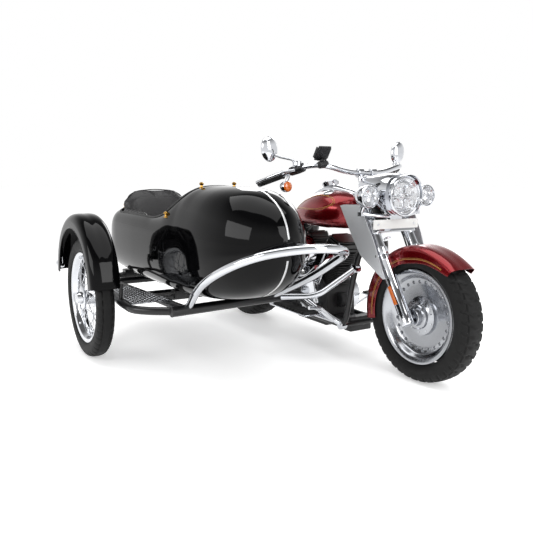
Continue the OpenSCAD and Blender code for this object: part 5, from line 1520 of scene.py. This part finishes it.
points, faces = skin(rounded_box_rings(60, 212, 34, 512, 886, 46, 6))
padded_piece("passenger_back_rest", [(points, faces, 0)], "chassis", ["sidecar_backrest"], most=0.009)
for side, name in ((-1, "right"), (1, "left")):
    rows = []
    for k in range(19):
        t = k / 18
        x = 24 + 330 * t
        r = 30 * math.sin(math.acos(min(1, max(abs(2 * t - 1) * 1.02 - 0.02, 0)) ** 6)) ** 1 if 0 < t < 1 else 8
        r = max(r, 8) * (1 + 0.05 * math.cos(14 * math.pi * t))
        rows.append([at(x, -730 + side * 190 + r * math.cos(2 * math.pi * i / 32),
                        752 - 16 * t + r * math.sin(2 * math.pi * i / 32))
                     for i in range(32)])
    points, faces = skin(rows)
    padded_piece("arm_roll_" + name, [(points, faces, 0)], "chassis", [], most=0.006, voxel=0.005)
    rows = []
    for x, grow in ((56, 0.7), (64, 1), (200, 1), (330, 1), (392, 0.9), (404, 0.6)):
        rows.append([at(x, -730 + side * (204 + 14 * grow * math.cos(2 * math.pi * i / 24)),
                        600 + (126 if x < 340 else 110) * grow * power(math.sin(2 * math.pi * i / 24),
                                                            3)) for i in range(24)])
    points, faces = skin(rows)
    merge_parts("side_panel_" + name, [(points, faces, 0)], [leather], "chassis", sharp=60, levels=1)
quilt = []
for i in range(-5, 6):
    for way in (-1, 1):
        line = []
        for k in range(13):
            t, y = 0.16 + 0.7 * k / 12, 34 * i + way * 170 * (k / 12 - 0.5)
            if abs(y) < 176:
                line.append((96.5 - 46 * t - 10 * (abs(y) / 190) ** 4, -730 + y, 512 + 374 * t))
        if len(line) > 2:
            quilt.append(pipe(line, 1.6, 5, 0, 6, 1))
merge_parts("back_rest_stitching", quilt, [thread], "chassis")
piping = [pipe([(66, -730 - 190, 560), (30, -730 - 192, 800), (22, -730 - 176, 852), (18, -730 - 120, 880),
                (16, -730, 890),
                (18, -730 + 120, 880), (22, -730 + 176, 852), (30, -730 + 192, 800), (66, -730 + 190, 560)],
               3.2, 50, 0, 8)]
merge_parts("back_rest_piping", piping, [leather], "chassis")

# ---------------------------------------------------------------- sidecar fender, step and bumper
# The fender is a deep pressing with rolled edges on tube brackets; the step is chequered alloy plate.
# A chromed hoop guards the nose.

fender_parts = fender_shell(375, -1272, 400, 371, 78, 70, 44, 3, 176, 72, 5.0, 4.0)
fender_parts.append(pipe([(727, -1202, 345), (738, -1198, 440)], 9, number=1))
fender_parts.append(pipe([(150, -1122, 345), (30, -1198, 470)], 9, number=1))
fender_parts.append(pipe([(401, -1154, 606), (407, -1198, 716)], 10, number=1))
merge_parts("sidecar_fender_shell", fender_parts, [black_lacquer, frame_enamel], "chassis", ["sidecar_fender"],
            sharp=50)
small_lamps = [
    turned((30, -1320, 456), (-48, -1320, 452), [(0, 12), (10, 20), (30, 24), (60, 25), (66, 24)]),
    turned((30, -1320, 456), (-48, -1320, 452), [(64, 22), (72, 21), (77, 12), (78, 0)], 1),
    turned((26, -1242, 520), (-24, -1242, 516), [(0, 14), (6, 22), (34, 26), (40, 25)]),
    turned((26, -1242, 520), (-24, -1242, 516), [(38, 23), (45, 20), (49, 10), (50, 0)], 1),
    pipe([(30, -1320, 462), (30, -1320, 500)], 8),
]
merge_parts("sidecar_rear_lamps", small_lamps, [chrome, red_lens], "chassis", ["sidecar_lamps"])
step_outline = [(440, -1048), (440, -1160), (727, -1200), (900, -1202), (900, -992)]
count = len(step_outline)
points = [at(x, y, z) for z in (364, 369) for x, y in step_outline]
faces = [tuple(reversed(range(count))), tuple(range(count, 2 * count))]
faces += [(i, (i + 1) % count, count + (i + 1) % count, count + i) for i in range(count)]
merge_parts("step_sheet", [(points, faces, 0)], [polished_alloy], "chassis", ["step_plate"], bevel=1)
# Raised bars rolled into the sheet, alternately turned, stood out by geometry nodes on a grid of points.
bars = bpy.data.node_groups.new("chequer_bars", "GeometryNodeTree")
bars.interface.new_socket("Points", in_out="INPUT", socket_type="NodeSocketGeometry")
for label, value in (("Bar length", 0.02), ("Bar height", 0.0022)):
    bars.interface.new_socket(label, in_out="INPUT", socket_type="NodeSocketFloat").default_value = value
bars.interface.new_socket("Bars", in_out="OUTPUT", socket_type="NodeSocketGeometry")
start = bars.nodes.new("NodeGroupInput")
shape = add_node(bars, "ShaderNodeCombineXYZ", {"Y": 0.0055},
                 {"X": start.outputs["Bar length"], "Z": start.outputs["Bar height"]})
bar = add_node(bars, "GeometryNodeMeshIcoSphere", {"Radius": 0.5, "Subdivisions": 2})
bar = add_node(bars, "GeometryNodeTransform", links={"Geometry": bar.outputs[0], "Scale": shape.outputs[0]})
index = add_node(bars, "GeometryNodeInputIndex")
odd = add_node(bars, "ShaderNodeMath", {1: 2.0}, {0: index.outputs[0]}, operation="MODULO")
spin = add_node(bars, "ShaderNodeMath", {1: math.pi / 2, 2: math.pi / 4}, {0: odd.outputs[0]},
                operation="MULTIPLY_ADD")
turn_z = add_node(bars, "ShaderNodeCombineXYZ", links={"Z": spin.outputs[0]})
stand = add_node(bars, "GeometryNodeInstanceOnPoints",
                 links={"Points": start.outputs["Points"], "Instance": bar.outputs[0],
                 "Rotation": turn_z.outputs[0]})
real = add_node(bars, "GeometryNodeRealizeInstances", links={0: stand.outputs[0]})
coloured = add_node(bars, "GeometryNodeSetMaterial", {"Material": chrome}, {"Geometry": real.outputs[0]})
bars.links.new(coloured.outputs[0], bars.nodes.new("NodeGroupOutput").inputs[0])
grid = bpy.data.meshes.new("chequer_points")
spots = []
for i in range(24):
    for j in range(11):
        x, y = 452 + i * 19, -1186 + j * 19
        inner_y = -1048 + (x - 440) * 56 / 460
        outer_y = -1160 - (x - 440) * 40 / 287 if x < 727 else -1200
        if outer_y + 12 < y < inner_y - 12:
            spots.append((i + j, at(x, y, 369)))
spots.sort(key=lambda s: s[0] % 2)
even = [p for s, p in spots if s % 2 == 0]
odd_spots = [p for s, p in spots if s % 2]
mixed = []
for k in range(max(len(even), len(odd_spots))):
    mixed.append(even[k % len(even)])
    mixed.append(odd_spots[k % len(odd_spots)])
grid.from_pydata(mixed, [], [])
settle_nodes("step_chequer", grid, bars, {"Bar length": 0.02}, "chassis")

hoop_line = [(1050, -973, 353), (1185, -982, 473), (1314, -978, 544), (1420, -952, 597), (1486, -922, 629),
             (1561, -869, 662), (1636, -787, 686), (1700, -680, 698), (1690, -540, 682), (1610, -468, 648),
             (1429, -466, 546), (1283, -468, 472), (1000, -475, 353)]
hoop_parts = [pipe(hoop_line, 19, 90, 0, 28, 8), turned((1527, -706, 700), (1691, -682, 699), [(0, 9), (165,
                                                            9)])]
for x, y in ((1050, -973), (1003, -475)):
    hoop_parts.append(turned((x, y, 341), (x, y, 369), [(0, 20), (3, 24), (25, 24), (28, 20)]))
merge_parts("nose_hoop", hoop_parts, [chrome], "chassis", ["sidecar_bumper"])
merge_parts("stand_mounting", [block(744, 776, 112, 148, 151, 175), turned((760, 126, 163), (760, 188, 163),
            [(0, 8), (55, 8), (56, 14), (61, 13), (62, 10)], 0, 32)], [frame_enamel], "chassis",
            ["stand_bracket"], bevel=1)
